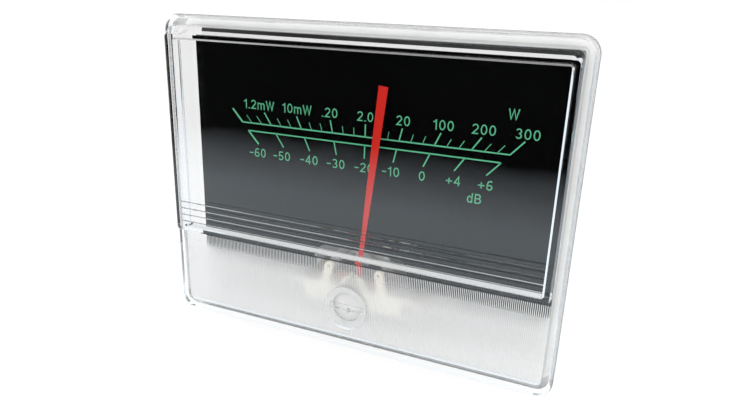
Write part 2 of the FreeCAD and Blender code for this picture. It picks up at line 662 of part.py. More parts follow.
# ---------------------------------------------------------------- bearings and zero lever
def bearing_cup(mouth, inwards):
    """The hollow that takes a pivot, open at the plane called mouth."""
    low, high = sorted((mouth - inwards, mouth + inwards * BEARING_CUP_DEPTH))
    return cylinder(0, AXIS_Z, BEARING_CUP_RADIUS, low, high)


def front_bearing():
    """Flanged jewel screw. The zero lever turns on its neck, in front of the bridge."""
    flange_front = BEARING_FLANGE_REAR - BEARING_FLANGE
    flange = cylinder(0, AXIS_Z, BEARING_FLANGE_RADIUS, flange_front, BEARING_FLANGE_REAR)
    neck = cylinder(0, AXIS_Z, BEARING_NECK_RADIUS, BEARING_FLANGE_REAR, FRONT_BRIDGE_FRONT)
    shank = cylinder(0, AXIS_Z, BEARING_SHANK_RADIUS, FRONT_BRIDGE_FRONT, BEARING_REAR)
    body = union([flange, neck, shank])
    return body.cut(bearing_cup(BEARING_REAR, -1))


def rear_bearing_screw():
    """Threaded jewel screw, slotted at its outer end."""
    end = REAR_BEARING_FRONT + REAR_SCREW_LENGTH
    shank = cylinder(0, AXIS_Z, BEARING_SHANK_RADIUS, REAR_BEARING_FRONT, end)
    half = BEARING_SLOT_WIDTH / 2
    slot = block(
        -2 * BEARING_SHANK_RADIUS, 2 * BEARING_SHANK_RADIUS,
        end - BEARING_SLOT_DEPTH, end + PAST, AXIS_Z - half, AXIS_Z + half)
    return shank.cut(bearing_cup(REAR_BEARING_FRONT, 1)).cut(slot)


def rear_lock_nut():
    return nut(0, AXIS_Z, LOCK_NUT_FLATS, BEARING_SHANK_RADIUS, REAR_BRIDGE_REAR, LOCK_NUT_THICKNESS)


def zero_lever():
    """Eye on the front bearing, fork on the eccentric pin, hook at the spring's end."""
    half = LEVER_WIDTH / 2
    foot = PIN_Z - LEVER_FOOT_BEYOND_PIN
    spring_rear = FRONT_SPRING_FRONT + SPRING_HEIGHT
    body = union([
        cylinder(0, AXIS_Z, LEVER_EYE_RADIUS, LEVER_FRONT, LEVER_REAR),
        block(-half, half, LEVER_FRONT, LEVER_REAR, foot, AXIS_Z),
        block(-SPRING_TAG, SPRING_TAG, LEVER_FRONT, LEVER_REAR, AXIS_Z, TAG_TOP),
        block(-SPRING_TAG, SPRING_TAG, LEVER_FRONT, spring_rear, TAG_FOOT, TAG_TOP),
    ])
    eye = cylinder(0, AXIS_Z, BEARING_NECK_RADIUS + RUNNING, LEVER_FRONT - PAST, LEVER_REAR + PAST)
    gap = ECCENTRIC_PIN_RADIUS + RUNNING
    slot = rounded_block(
        -gap, gap, foot - 2 * gap, PIN_Z + ECCENTRIC_PIN_RADIUS + LEVER_SLOT_RUN, LEVER_SLOT_CORNER,
        LEVER_FRONT - PAST, LEVER_REAR + PAST)
    return body.cut(eye).cut(slot)


def front_hairspring():
    return hairspring(FRONT_SPRING_FRONT)


def rear_hairspring():
    return hairspring(REAR_SPRING_FRONT)


def rear_spring_tag():
    """Strip on the rear bridge whose bent end holds the rear spring."""
    front = REAR_BRIDGE_FRONT - TAG_STRIP
    foot = AXIS_Z + BEARING_SHANK_RADIUS + TAG_STRIP
    strip = block(-SPRING_TAG, SPRING_TAG, front, REAR_BRIDGE_FRONT, foot, TAG_TOP)
    hook = block(-SPRING_TAG, SPRING_TAG, REAR_SPRING_FRONT, REAR_BRIDGE_FRONT, TAG_FOOT, TAG_TOP)
    return union([strip, hook])


# ---------------------------------------------------------------- bridges, posts and stops
def link(start, end, width, front, rear):
    """A flat bar with round ends between two (x, z) points."""
    run_x = end[0] - start[0]
    run_z = end[1] - start[1]
    length = math.hypot(run_x, run_z)
    off_x = -run_z / length * width / 2
    off_z = run_x / length * width / 2
    bar = prism([
        (start[0] + off_x, start[1] + off_z), (end[0] + off_x, end[1] + off_z),
        (end[0] - off_x, end[1] - off_z), (start[0] - off_x, start[1] - off_z),
    ], front, rear)
    ends = [cylinder(x, z, width / 2, front, rear) for x, z in (start, end)]
    return union([bar] + ends)


def stop_place(side):
    """Where a stop pin stands so that the blade's edge meets it at the stop angle."""
    along = (STOP_AT - POINTER_DISC_RADIUS) / (POINTER_WAIST_AT - POINTER_DISC_RADIUS)
    width = POINTER_ROOT_WIDTH + along * (POINTER_WAIST_WIDTH - POINTER_ROOT_WIDTH)
    spread = math.asin((width / 2 + STOP_RADIUS) / STOP_AT)
    angle = math.radians(STOP_ANGLE) + spread
    return side * STOP_AT * math.sin(angle), AXIS_Z + STOP_AT * math.cos(angle)


def front_bridge():
    front = FRONT_BRIDGE_FRONT
    rear = FRONT_BRIDGE_REAR
    shapes = [
        link((-FRONT_POST_X, FRONT_POST_Z), (FRONT_POST_X, FRONT_POST_Z), BRIDGE_BAR_WIDTH, front, rear),
        cylinder(0, AXIS_Z, BRIDGE_BOSS_RADIUS, front, rear),
    ]
    for side in (1, -1):
        ear_foot = (side * BRIDGE_EAR_FOOT_X, FRONT_POST_Z)
        shapes.append(link(ear_foot, stop_place(side), BRIDGE_EAR_WIDTH, front, rear))
    body = union(shapes)
    body = body.cut(cylinder(0, AXIS_Z, BEARING_SHANK_RADIUS + FIXED, front - PAST, rear + PAST))
    for side in (1, -1):
        x, z = stop_place(side)
        body = body.cut(cylinder(x, z, STOP_PIN_RADIUS + FIXED, front - PAST, rear + PAST))
        hole = POST_SCREW_RADIUS + RUNNING
        body = body.cut(cylinder(side * FRONT_POST_X, FRONT_POST_Z, hole, front - PAST, rear + PAST))
    return body


def stop_pins():
    def pin(side):
        x, z = stop_place(side)
        return cylinder(x, z, STOP_PIN_RADIUS, FRONT_BRIDGE_FRONT, POINTER_REAR + STOP_BEYOND_POINTER)
    return sides(pin)


def stop_sleeves():
    """Soft tubes on the stop pins, which the pointer meets."""
    def sleeve(side):
        x, z = stop_place(side)
        rear = POINTER_REAR + STOP_BEYOND_POINTER
        return ring(x, z, STOP_PIN_RADIUS + FIXED, STOP_RADIUS, FRONT_BRIDGE_REAR, rear)
    return sides(sleeve)


def post(x, z, radius, front, rear, screw_reach, spigot_front, spigot_rear):
    """A pillar with a tapped hole at one end and a riveted spigot at the other."""
    body = union([
        cylinder(x, z, radius, front, rear),
        cylinder(x, z, POST_SPIGOT_RADIUS, spigot_front, spigot_rear),
    ])
    depth = screw_reach + HOLE_BEYOND_SCREW
    if spigot_rear > rear:
        hole = cylinder(x, z, POST_SCREW_RADIUS + FIXED, front - PAST, front + depth)
    else:
        hole = cylinder(x, z, POST_SCREW_RADIUS + FIXED, rear - depth, rear + PAST)
    return body.cut(hole)


def front_posts():
    reach = FRONT_POST_SCREW_LENGTH - BRIDGE_THICKNESS
    return sides(lambda side: post(
        side * FRONT_POST_X, FRONT_POST_Z, FRONT_POST_RADIUS,
        FRONT_BRIDGE_REAR, FRAME_FRONT, reach, FRAME_FRONT, FRAME_REAR))


def rear_posts():
    reach = REAR_POST_SCREW_LENGTH - BRIDGE_THICKNESS
    return sides(lambda side: post(
        side * REAR_POST_X, AXIS_Z, REAR_POST_RADIUS,
        FRAME_REAR, REAR_BRIDGE_FRONT, reach, FRAME_FRONT, FRAME_REAR))


def front_bridge_screws():
    return sides(lambda side: screw(
        side * FRONT_POST_X, FRONT_POST_Z, FRONT_BRIDGE_FRONT,
        POST_SCREW_HEAD_RADIUS, POST_SCREW_HEAD, POST_SCREW_RADIUS, FRONT_POST_SCREW_LENGTH))


def rear_bridge_screws():
    return sides(lambda side: screw(
        side * REAR_POST_X, AXIS_Z, REAR_BRIDGE_REAR,
        POST_SCREW_HEAD_RADIUS, POST_SCREW_HEAD, POST_SCREW_RADIUS, REAR_POST_SCREW_LENGTH, -1))


def rear_bridge():
    front = REAR_BRIDGE_FRONT
    rear = REAR_BRIDGE_REAR
    bar = link((-REAR_POST_X, AXIS_Z), (REAR_POST_X, AXIS_Z), BRIDGE_BAR_WIDTH, front, rear)
    body = union([bar, cylinder(0, AXIS_Z, BRIDGE_BOSS_RADIUS, front, rear)])
    body = body.cut(cylinder(0, AXIS_Z, BEARING_SHANK_RADIUS + FIXED, front - PAST, rear + PAST))
    for side in (1, -1):
        hole = POST_SCREW_RADIUS + RUNNING
        body = body.cut(cylinder(side * REAR_POST_X, AXIS_Z, hole, front - PAST, rear + PAST))
    return body


# ---------------------------------------------------------------- magnet system and frame
def core_magnet():
    return cylinder(0, AXIS_Z, CORE_RADIUS, CORE_FRONT, CORE_REAR)


def yoke_ring():
    return ring(0, AXIS_Z, YOKE_INNER_RADIUS, YOKE_OUTER_RADIUS, YOKE_FRONT, YOKE_REAR)


def core_supports():
    """Cast wedges above and below the core that carry it inside the yoke."""
    inner = CORE_RADIUS + FIXED
    outer = YOKE_INNER_RADIUS - FIXED
    whole = ring(0, AXIS_Z, inner, outer, YOKE_FRONT, YOKE_REAR)
    reach = 2 * YOKE_OUTER_RADIUS
    half = reach * math.tan(math.radians(SUPPORT_HALF_ANGLE))
    wedges = []
    for up in (1, -1):
        corners = [(0, AXIS_Z), (-half, AXIS_Z + up * reach), (half, AXIS_Z + up * reach)]
        wedges.append(whole.common(prism(corners, YOKE_FRONT, YOKE_REAR)))
    return Part.makeCompound(wedges)


def movement_frame():
    half = COLUMN_X + FRAME_BESIDE_SCREW
    low = AXIS_Z - FRAME_FOOT_BELOW_AXIS
    high = AXIS_Z + FRAME_TOP_ABOVE_AXIS
    body = rounded_block(-half, half, low, high, FRAME_CORNER, FRAME_FRONT, FRAME_REAR)
    window = YOKE_INNER_RADIUS + FRAME_HOLE_BEYOND_YOKE
    holes = [(0, AXIS_Z, window)]
    for side in (1, -1):
        holes.append((side * FRONT_POST_X, FRONT_POST_Z, POST_SPIGOT_RADIUS + FIXED))
        holes.append((side * REAR_POST_X, AXIS_Z, POST_SPIGOT_RADIUS + FIXED))
        holes.append((side * COLUMN_X, COLUMN_Z, FRAME_SCREW_RADIUS + RUNNING))
    for x, z, radius in holes:
        body = body.cut(cylinder(x, z, radius, FRAME_FRONT - PAST, FRAME_REAR + PAST))
    return body


def movement_screws():
    return sides(lambda side: screw(
        side * COLUMN_X, COLUMN_Z, FRAME_FRONT,
        FRAME_SCREW_HEAD_RADIUS, FRAME_SCREW_HEAD, FRAME_SCREW_RADIUS, FRAME_SCREW_LENGTH))


def strap(start, end):
    return link(start, end, STRAP_WIDTH, STRAP_FRONT, STRAP_REAR)


def strap_left():
    """Strip from the rear bridge to a terminal."""
    return strap((-REAR_POST_X, AXIS_Z), (-TERMINAL_SPACING / 2, TERMINAL_Z))


def strap_right():
    """Strip from the foot of a front post to the other terminal."""
    flat = strap((FRONT_POST_X, FRONT_POST_Z), (TERMINAL_SPACING / 2, TERMINAL_Z))
    leg = cylinder(FRONT_POST_X, FRONT_POST_Z, STRAP_WIDTH / 2, FRAME_REAR, STRAP_FRONT)
    return union([flat, leg])


# ---------------------------------------------------------------- rear housing
def column(x, z, radius, front, screw_radius, screw_end):
    body = cylinder(x, z, radius, front, FLOOR_INSIDE + FLOOR_THICKNESS / 2)
    hole = cylinder(x, z, screw_radius + FIXED, front - PAST, screw_end + HOLE_BEYOND_SCREW)
    return body, hole


def rear_housing():
    """Drafted tray whose lip enters the cover and carries the dial."""
    shell = tapered_block(
        SKIRT_WIDTH, SKIRT_HEIGHT, SKIRT_CORNER, SKIRT_REAR, FLOOR_OUTSIDE, HOUSING_DRAFT)
    shell = shell.makeFillet(HOUSING_REAR_EDGE, edges_in_plane(shell, FLOOR_OUTSIDE))
    lip = centred_block(
        LIP_WIDTH, LIP_HEIGHT, CAVITY_CORNER, DIAL_REAR, SKIRT_REAR + LIP_WALL)
    body = union([shell, lip])
    inside_width = LIP_WIDTH - 2 * LIP_WALL
    inside_height = LIP_HEIGHT - 2 * LIP_WALL
    floor_width = SKIRT_WIDTH - 2 * HOUSING_DRAFT - 2 * HOUSING_WALL
    narrowing = (inside_width - floor_width) / 2
    hollow = tapered_block(
        inside_width, inside_height, CAVITY_CORNER, DIAL_REAR, FLOOR_INSIDE, narrowing)
    body = body.cut(hollow)
    inner = []
    holes = []
    for side in (1, -1):
        shape, hole = column(
            side * COLUMN_X, COLUMN_Z, COLUMN_RADIUS, FRAME_REAR,
            FRAME_SCREW_RADIUS, FRAME_FRONT + FRAME_SCREW_LENGTH)
        inner.append(shape)
        holes.append(hole)
        shape, hole = column(
            side * DIAL_SCREW_X, DIAL_SCREW_Z, DIAL_COLUMN_RADIUS, DIAL_REAR,
            DIAL_SCREW_RADIUS, DIAL_DEPTH + DIAL_SCREW_LENGTH)
        inner.append(shape)
        holes.append(hole)
        x = side * MOUNT_STUD_SPACING / 2
        inner.append(cylinder(x, 0, MOUNT_BOSS_RADIUS, MOUNT_BOSS_FRONT, FLOOR_OUTSIDE - OVERLAP))
        holes.append(cylinder(
            x, 0, MOUNT_SHOULDER_RADIUS + FIXED, MOUNT_BOSS_FRONT - PAST, FLOOR_OUTSIDE + PAST))
        holes.append(cylinder(
            side * TERMINAL_SPACING / 2, TERMINAL_Z, TERMINAL_RADIUS + RUNNING,
            FLOOR_INSIDE - PAST, FLOOR_OUTSIDE + PAST))
        holes.append(cylinder(
            side * LAMP_SPACING / 2, LAMP_Z, HOLDER_RADIUS + RUNNING,
            FLOOR_INSIDE - PAST, FLOOR_OUTSIDE + PAST))
    body = union([body] + inner)
    return body.cut(Part.makeCompound(holes))


# ---------------------------------------------------------------- terminals and mounting studs
def terminal_studs():
    """Threaded studs with square-cut hexagonal heads inside the floor."""
    def stud(side):
        x = side * TERMINAL_SPACING / 2
        head = hexagon(x, TERMINAL_Z, TERMINAL_HEAD_FLATS, STRAP_REAR, FLOOR_INSIDE)
        end = FLOOR_OUTSIDE + TERMINAL_PROUD
        return head.fuse(cylinder(x, TERMINAL_Z, TERMINAL_RADIUS, FLOOR_INSIDE, end))
    return sides(stud)


def washer(x, z, bore, outer, thickness):
    return ring(x, z, bore + RUNNING, outer, FLOOR_OUTSIDE, FLOOR_OUTSIDE + thickness)


def terminal_washers():
    return sides(lambda side: washer(
        side * TERMINAL_SPACING / 2, TERMINAL_Z, TERMINAL_RADIUS,
        TERMINAL_WASHER_RADIUS, TERMINAL_WASHER_THICKNESS))


def terminal_nuts():
    return sides(lambda side: nut(
        side * TERMINAL_SPACING / 2, TERMINAL_Z, TERMINAL_NUT_FLATS, TERMINAL_RADIUS,
        TERMINAL_NUT_FRONT, TERMINAL_NUT_THICKNESS))


def lug_nuts():
    return sides(lambda side: nut(
        side * TERMINAL_SPACING / 2, TERMINAL_Z, TERMINAL_NUT_FLATS, TERMINAL_RADIUS,
        LUG_REAR, TERMINAL_NUT_THICKNESS))


def solder_lugs():
    """Ring tags whose eyed tongues point up."""
    def lug(side):
        x = side * TERMINAL_SPACING / 2
        eye_z = TERMINAL_Z + LUG_LENGTH - LUG_WIDTH / 2
        body = union([
            cylinder(x, TERMINAL_Z, LUG_RING_RADIUS, LUG_FRONT, LUG_REAR),
            link((x, TERMINAL_Z), (x, eye_z), LUG_WIDTH, LUG_FRONT, LUG_REAR),
        ])
        hole = TERMINAL_RADIUS + RUNNING
        body = body.cut(cylinder(x, TERMINAL_Z, hole, LUG_FRONT - PAST, LUG_REAR + PAST))
        return body.cut(cylinder(x, eye_z, LUG_EYE_RADIUS, LUG_FRONT - PAST, LUG_REAR + PAST))
    return sides(lug)


def mounting_studs():
    """Threaded studs, moulded into the floor by a thicker shoulder that ends flush with it."""
    def stud(side):
        x = side * MOUNT_STUD_SPACING / 2
        head = cylinder(x, 0, MOUNT_HEAD_RADIUS, MOUNT_BOSS_FRONT - MOUNT_HEAD, MOUNT_BOSS_FRONT)
        shoulder = cylinder(x, 0, MOUNT_SHOULDER_RADIUS, MOUNT_BOSS_FRONT, FLOOR_OUTSIDE)
        end = FLOOR_OUTSIDE + MOUNT_STUD_PROUD
        shank = cylinder(x, 0, MOUNT_STUD_RADIUS, FLOOR_OUTSIDE, end)
        return union([head, shoulder, shank])
    return sides(stud)


# ---------------------------------------------------------------- lamps
def lamp_bulbs():
    """Glass envelopes with drawn-in ends, behind the dial."""
    def bulb(side):
        x = side * LAMP_SPACING / 2
        front = HOLDER_FRONT - LAMP_GLASS_LENGTH
        glass = cylinder(x, LAMP_Z, LAMP_GLASS_RADIUS, front, HOLDER_FRONT)
        return glass.makeChamfer(LAMP_GLASS_EDGE, edges_in_plane(glass, front))
    return sides(bulb)


def lamp_caps():
    return sides(lambda side: cylinder(
        side * LAMP_SPACING / 2, LAMP_Z, LAMP_CAP_RADIUS, HOLDER_FRONT, LAMP_SEAT))


def contact_blades(clearance, front, rear):
    half = CONTACT_WIDTH / 2 + clearance
    thick = CONTACT_THICKNESS / 2 + clearance
    blades = []
    for side in (1, -1):
        for row in (1, -1):
            x = side * LAMP_SPACING / 2 + row * CONTACT_SPACING / 2
            blades.append(block(x - thick, x + thick, front, rear, LAMP_Z - half, LAMP_Z + half))
    return Part.makeCompound(blades)


def lamp_holders():
    """Push-in holders, their flanges outside the floor."""
    rear = FLOOR_OUTSIDE + HOLDER_FLANGE

    def holder(side):
        x = side * LAMP_SPACING / 2
        body = union([
            cylinder(x, LAMP_Z, HOLDER_RADIUS, HOLDER_FRONT, FLOOR_OUTSIDE),
            cylinder(x, LAMP_Z, HOLDER_FLANGE_RADIUS, FLOOR_OUTSIDE, rear),
        ])
        socket = cylinder(x, LAMP_Z, LAMP_CAP_RADIUS + RUNNING, HOLDER_FRONT - PAST, LAMP_SEAT)
        return body.cut(socket).cut(contact_blades(FIXED, LAMP_SEAT - PAST, rear + PAST))
    return sides(holder)


def lamp_contacts():
    rear = FLOOR_OUTSIDE + HOLDER_FLANGE + CONTACT_PROUD
    return contact_blades(0, LAMP_SEAT, rear)


# ---------------------------------------------------------------- nodes
NODES = [
    front_cover, zero_adjuster, adjuster_ring, zero_lever, front_hairspring,
    pointer, balance_cross, balance_weights, coil_hubs, coil_pivots, coil_former, coil_winding,
    dial_plate, dial_screws, stop_pins, stop_sleeves,
    front_bearing, front_bridge, front_bridge_screws, front_posts,
    core_magnet, core_supports, yoke_ring, movement_frame, movement_screws,
    rear_posts, rear_bridge, rear_bridge_screws, rear_bearing_screw, rear_lock_nut,
    rear_hairspring, rear_spring_tag, strap_left, strap_right,
    rear_housing, terminal_studs, terminal_washers, terminal_nuts, solder_lugs, lug_nuts,
    mounting_studs,
    lamp_holders, lamp_bulbs, lamp_caps, lamp_contacts,
]

os.makedirs("parts", exist_ok=True)
for make in NODES:
    make().exportStep("parts/" + make.__name__ + ".step")
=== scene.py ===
"""Looks of the panel VU meter: its clear cover, printed dial, movement and terminals.

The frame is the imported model's: X to the right of someone reading the dial, Z up, Y into
the meter. Sizes and places are in millimetres, but those with MM in them, the dial's face, the
floor's and the lamp's are in metres.
"""
import json
import math

import bmesh
import bpy
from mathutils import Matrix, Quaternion, Vector


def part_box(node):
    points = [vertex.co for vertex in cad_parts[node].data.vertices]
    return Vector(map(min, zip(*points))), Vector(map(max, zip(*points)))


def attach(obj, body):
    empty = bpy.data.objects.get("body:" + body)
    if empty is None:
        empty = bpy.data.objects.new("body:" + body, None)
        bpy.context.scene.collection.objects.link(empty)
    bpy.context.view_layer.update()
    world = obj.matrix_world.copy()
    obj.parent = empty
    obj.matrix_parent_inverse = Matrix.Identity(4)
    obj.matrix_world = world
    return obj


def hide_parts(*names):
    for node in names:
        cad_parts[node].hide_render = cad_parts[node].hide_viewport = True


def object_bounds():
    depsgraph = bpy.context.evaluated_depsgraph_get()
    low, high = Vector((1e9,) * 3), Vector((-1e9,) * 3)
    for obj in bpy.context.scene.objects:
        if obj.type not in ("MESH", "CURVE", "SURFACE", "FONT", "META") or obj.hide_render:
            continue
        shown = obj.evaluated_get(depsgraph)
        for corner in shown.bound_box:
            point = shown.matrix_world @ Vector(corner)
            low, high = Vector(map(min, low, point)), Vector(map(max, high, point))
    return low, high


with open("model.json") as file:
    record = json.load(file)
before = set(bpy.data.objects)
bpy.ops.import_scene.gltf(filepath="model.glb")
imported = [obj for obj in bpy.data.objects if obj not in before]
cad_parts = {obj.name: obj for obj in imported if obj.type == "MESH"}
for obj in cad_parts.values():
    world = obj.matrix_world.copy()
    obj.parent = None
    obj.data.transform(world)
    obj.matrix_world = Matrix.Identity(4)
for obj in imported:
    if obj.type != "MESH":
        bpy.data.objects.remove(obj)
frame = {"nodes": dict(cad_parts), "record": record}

CAD_BOX = [list(corner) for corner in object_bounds()]
MM = 0.001
NODES = frame["nodes"]

# ---------------------------------------------------------------- places read from the frame
COVER_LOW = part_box("front_cover")[0]
COVER_FRONT = COVER_LOW.y / MM
COVER_FOOT = COVER_LOW.z / MM
DIAL_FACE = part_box("dial_plate")[0].y
ADJUSTER_LOW, ADJUSTER_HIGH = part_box("zero_adjuster")
ADJUSTER_Z = (ADJUSTER_LOW.z + ADJUSTER_HIGH.z) / 2 / MM
PIVOTS_LOW, PIVOTS_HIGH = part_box("coil_pivots")
AXIS_Z = (PIVOTS_LOW.z + PIVOTS_HIGH.z) / 2 / MM     # of the pointer's axis

# ---------------------------------------------------------------- camera
CAMERA_PLACE = Vector((51.3, -109.2, 38.9)) * MM
CAMERA_TARGET = Vector((6.08, 0, -0.39)) * MM
CAMERA_ROLL = math.radians(2.07)
CAMERA_LENS = 29.47
CAMERA_SENSOR = 36.0
CAMERA_NEAR = 1 * MM         # nothing closer than this is drawn


def add_camera():
    camera = bpy.data.objects.new("camera", bpy.data.cameras.new("camera"))
    camera.data.lens = CAMERA_LENS
    camera.data.sensor_width = CAMERA_SENSOR
    camera.data.clip_start = CAMERA_NEAR
    camera.location = CAMERA_PLACE
    aim = (CAMERA_TARGET - CAMERA_PLACE).to_track_quat("-Z", "Y")
    camera.rotation_mode = "QUATERNION"
    camera.rotation_quaternion = aim @ Quaternion((0, 0, 1), CAMERA_ROLL)
    bpy.context.scene.collection.objects.link(camera)
    bpy.context.scene.camera = camera


# ---------------------------------------------------------------- node trees
COLOUR_SPAN = (0.35, 0.65)   # values of a noise over which the colour goes from dark to light
ROUGHNESS_SPAN = (0.3, 0.7)  # and the roughness from low to high


class Net:
    """Short ways to build a node tree from nothing."""

    def __init__(self, tree):
        self.tree = tree
        tree.nodes.clear()

    def feed(self, node, key, value):
        socket = node.inputs[key]
        if hasattr(value, "links"):
            self.tree.links.new(value, socket)
        else:
            socket.default_value = value

    def node(self, kind, *values, **named):
        made = self.tree.nodes.new(kind)
        for key, value in enumerate(values):
            self.feed(made, key, value)
        for key, value in named.items():
            self.feed(made, key.replace("_", " ").title().replace("Ior", "IOR"), value)
        return made

    def math(self, operation, a, b=0.0):
        made = self.node("ShaderNodeMath", a, b)
        made.operation = operation
        return made.outputs[0]

    def ramp(self, value, low, high, to_low=0.0, to_high=1.0):
        return self.node(
            "ShaderNodeMapRange", value=value, from_min=low, from_max=high,
            to_min=to_low, to_max=to_high).outputs["Result"]

    def within(self, value, low, high):
        """1 between the two limits, otherwise 0."""
        above = self.math("GREATER_THAN", value, low)
        return self.math("MULTIPLY", above, self.math("LESS_THAN", value, high))


class Material(Net):
    """One Principled shader and what varies it over the object, placed by the frame's axes."""

    def __init__(self, name, colour, roughness, metallic=0.0, **named):
        self.data = bpy.data.materials.new(name)
        self.data.use_nodes = True
        super().__init__(self.data.node_tree)
        self.shader = self.node(
            "ShaderNodeBsdfPrincipled", base_color=(*colour, 1), roughness=roughness,
            metallic=metallic, **named)
        self.output = self.node("ShaderNodeOutputMaterial", surface=self.shader.outputs[0])
        self.place = self.node("ShaderNodeTexCoord").outputs["Object"]

    def noise(self, size, detail=3.0, stretch=(1, 1, 1)):
        """Cloudy values round 0.5, whose blotches are about size across, in metres."""
        scaled = self.node("ShaderNodeMapping", vector=self.place, scale=stretch).outputs[0]
        return self.node(
            "ShaderNodeTexNoise", vector=scaled, scale=1 / size, detail=detail).outputs["Fac"]

    def axes(self):
        return self.node("ShaderNodeSeparateXYZ", self.place).outputs

    def vary_colour(self, value, dark, light, span=COLOUR_SPAN):
        mix = self.tree.nodes.new("ShaderNodeMix")
        mix.data_type = "RGBA"
        self.feed(mix, "Factor", self.ramp(value, *span))
        self.tree.links.new(mix.outputs["Result"], self.shader.inputs["Base Color"])
        mix.inputs["A"].default_value = (*dark, 1)
        mix.inputs["B"].default_value = (*light, 1)

    def vary_roughness(self, value, low, high):
        self.feed(self.shader, "Roughness", self.ramp(value, *ROUGHNESS_SPAN, low, high))

    def bump(self, value, height):
        """Relief of this height, in metres."""
        bump = self.node("ShaderNodeBump", height=value, distance=height)
        self.feed(self.shader, "Normal", bump.outputs["Normal"])


def shade(colour, factor):
    return tuple(min(channel * factor, 1) for channel in colour)


# ---------------------------------------------------------------- materials
REED_PITCH = 0.39
REED_WIDTH = 0.13            # of each groove, the rest of the pitch is flat
REED_DEPTH = 0.08
REED_FOOT = COVER_FOOT + 2.8
REED_TOP = COVER_FOOT + 20
REED_SIDE = 42.5
REED_LAND = 5.3              # plain land round the adjuster, radius
PANEL_REAR = 1.7
SILL = COVER_FOOT + 22.25    # inner face of the raised window's foot
SILL_FRONT = -0.8
RIBS_FOOT = COVER_FOOT + 23.9
RIBS_TOP = COVER_FOOT + 29.3
RIBS_SIDE = 41.0
RIB_DEPTH = 0.13             # of the band behind the window's front that the ribs' flanks fill
# painted shade: grey in the clear cross ribs, which darkens the band along the window's foot
RIB_PAINTED_SHADE = (0.3, 0.31, 0.32)
SKIN = 0.01                  # a hair's breadth round a face
FROSTING = (0.13, 0.55)      # roughness of the flats, at their top and at their foot
FROSTED_FROM = REED_TOP - 1.0
FROSTED_FULL = REED_TOP - 6.0
FLAT_WHITE = 0.5             # share of the flats that isn't clear, at their foot
GROOVE_WHITE = 0.95          # and of the grooves, the sill and the adjuster's ground faces
SILL_WHITE = 0.95
SCREW_WHITE = 0.75
SEAT_WHITE = 0.4
SCREW_SEAT = 0.8             # the adjuster is ground behind this
MATT = 0.7                   # roughness of ground faces
POLYSTYRENE_IOR = 1.59
POLYSTYRENE_PASSES = (0.97, 0.975, 0.975, 1)     # of the light that goes straight through
WAVE_SIZE = 7 * MM           # faint waves that moulding leaves in the clear faces
WAVE_RELIEF = 0.02 * MM


def panel_dullness(made):
    """Whiteness and roughness of the cover: grooves, flats between them, and the sill.

    The cross ribs along the window's foot are tinted grey, a painted shade that darkens them.
    """
    x, y, z = made.axes()
    ribs = made.math(
        "MULTIPLY", made.within(z, RIBS_FOOT * MM, RIBS_TOP * MM),
        made.within(y, (COVER_FRONT + SKIN) * MM, (COVER_FRONT + RIB_DEPTH) * MM))
    ribs = made.math("MULTIPLY", ribs, made.within(x, -RIBS_SIDE * MM, RIBS_SIDE * MM))
    # painted shade: the clear ribs are tinted grey to darken them
    made.vary_colour(ribs, (1, 1, 1), RIB_PAINTED_SHADE, span=(0, 1))
    field = made.math(
        "MULTIPLY", made.within(z, REED_FOOT * MM, REED_TOP * MM),
        made.within(x, -(REED_SIDE + REED_WIDTH) * MM, (REED_SIDE + REED_WIDTH) * MM))
    flanks = made.within(y, (PANEL_REAR - REED_DEPTH - SKIN) * MM, (PANEL_REAR - SKIN / 2) * MM)
    flats = made.within(y, (PANEL_REAR - SKIN / 2) * MM, (PANEL_REAR + SKIN) * MM)
    sill = made.within(z, (SILL - SKIN) * MM, (SILL + SKIN) * MM)
    sill = made.math("MULTIPLY", sill, made.within(y, SILL_FRONT * MM, (PANEL_REAR + SKIN) * MM))
    grooves = made.math("MULTIPLY", flanks, field)
    flats = made.math("MULTIPLY", flats, field)
    full = made.ramp(z, FROSTED_FROM * MM, FROSTED_FULL * MM)
    white = made.math(
        "MAXIMUM", made.math("MULTIPLY", grooves, GROOVE_WHITE),
        made.math("MULTIPLY", sill, SILL_WHITE))
    milky = made.math("MULTIPLY", flats, made.math("MULTIPLY", full, FLAT_WHITE))
    matt = made.math("MULTIPLY", made.math("MAXIMUM", grooves, sill), MATT)
    frosted = made.math("MULTIPLY", flats, made.ramp(full, 0, 1, *FROSTING))
    return made.math("MAXIMUM", white, milky), made.math("MAXIMUM", matt, frosted)


def screw_dullness(made):
    """Whiteness and roughness of the adjuster, ground under its head and at its shaft's end."""
    y = made.axes()["Y"]
    seat = made.math("GREATER_THAN", y, SCREW_SEAT * MM)
    end = made.math("GREATER_THAN", y, (PANEL_REAR + SKIN) * MM)
    white = made.math(
        "MAXIMUM", made.math("MULTIPLY", seat, SEAT_WHITE), made.math("MULTIPLY", end, SCREW_WHITE))
    return white, made.math("MULTIPLY", seat, MATT)


def clear_plastic(name, dullness):
    """Polished polystyrene. Light from lamps and from dull surfaces goes straight through it."""
    made = Material(name, (1, 1, 1), 0.0, transmission_weight=1.0, ior=POLYSTYRENE_IOR)
    made.bump(made.noise(WAVE_SIZE, detail=1), WAVE_RELIEF)
    white, rough = dullness(made)
    made.feed(made.shader, "Transmission Weight", made.math("SUBTRACT", 1.0, white))
    made.feed(made.shader, "Roughness", rough)
    path = made.node("ShaderNodeLightPath")
    through = made.node("ShaderNodeBsdfTransparent", color=POLYSTYRENE_PASSES)
    shader = made.shader.outputs[0]
    for ray in ("Is Shadow Ray", "Is Diffuse Ray"):
        mix = made.node("ShaderNodeMixShader", path.outputs[ray], shader, through.outputs[0])
        shader = mix.outputs[0]
    made.feed(made.output, "Surface", shader)
    return made.data


FLOW_SIZE = 9 * MM
FLOW_SHADE = 0.94
GRAIN_SIZE = 0.15 * MM
GRAIN_SPREAD = 0.08          # of the roughness, each way
GRAIN_RELIEF = 0.01 * MM


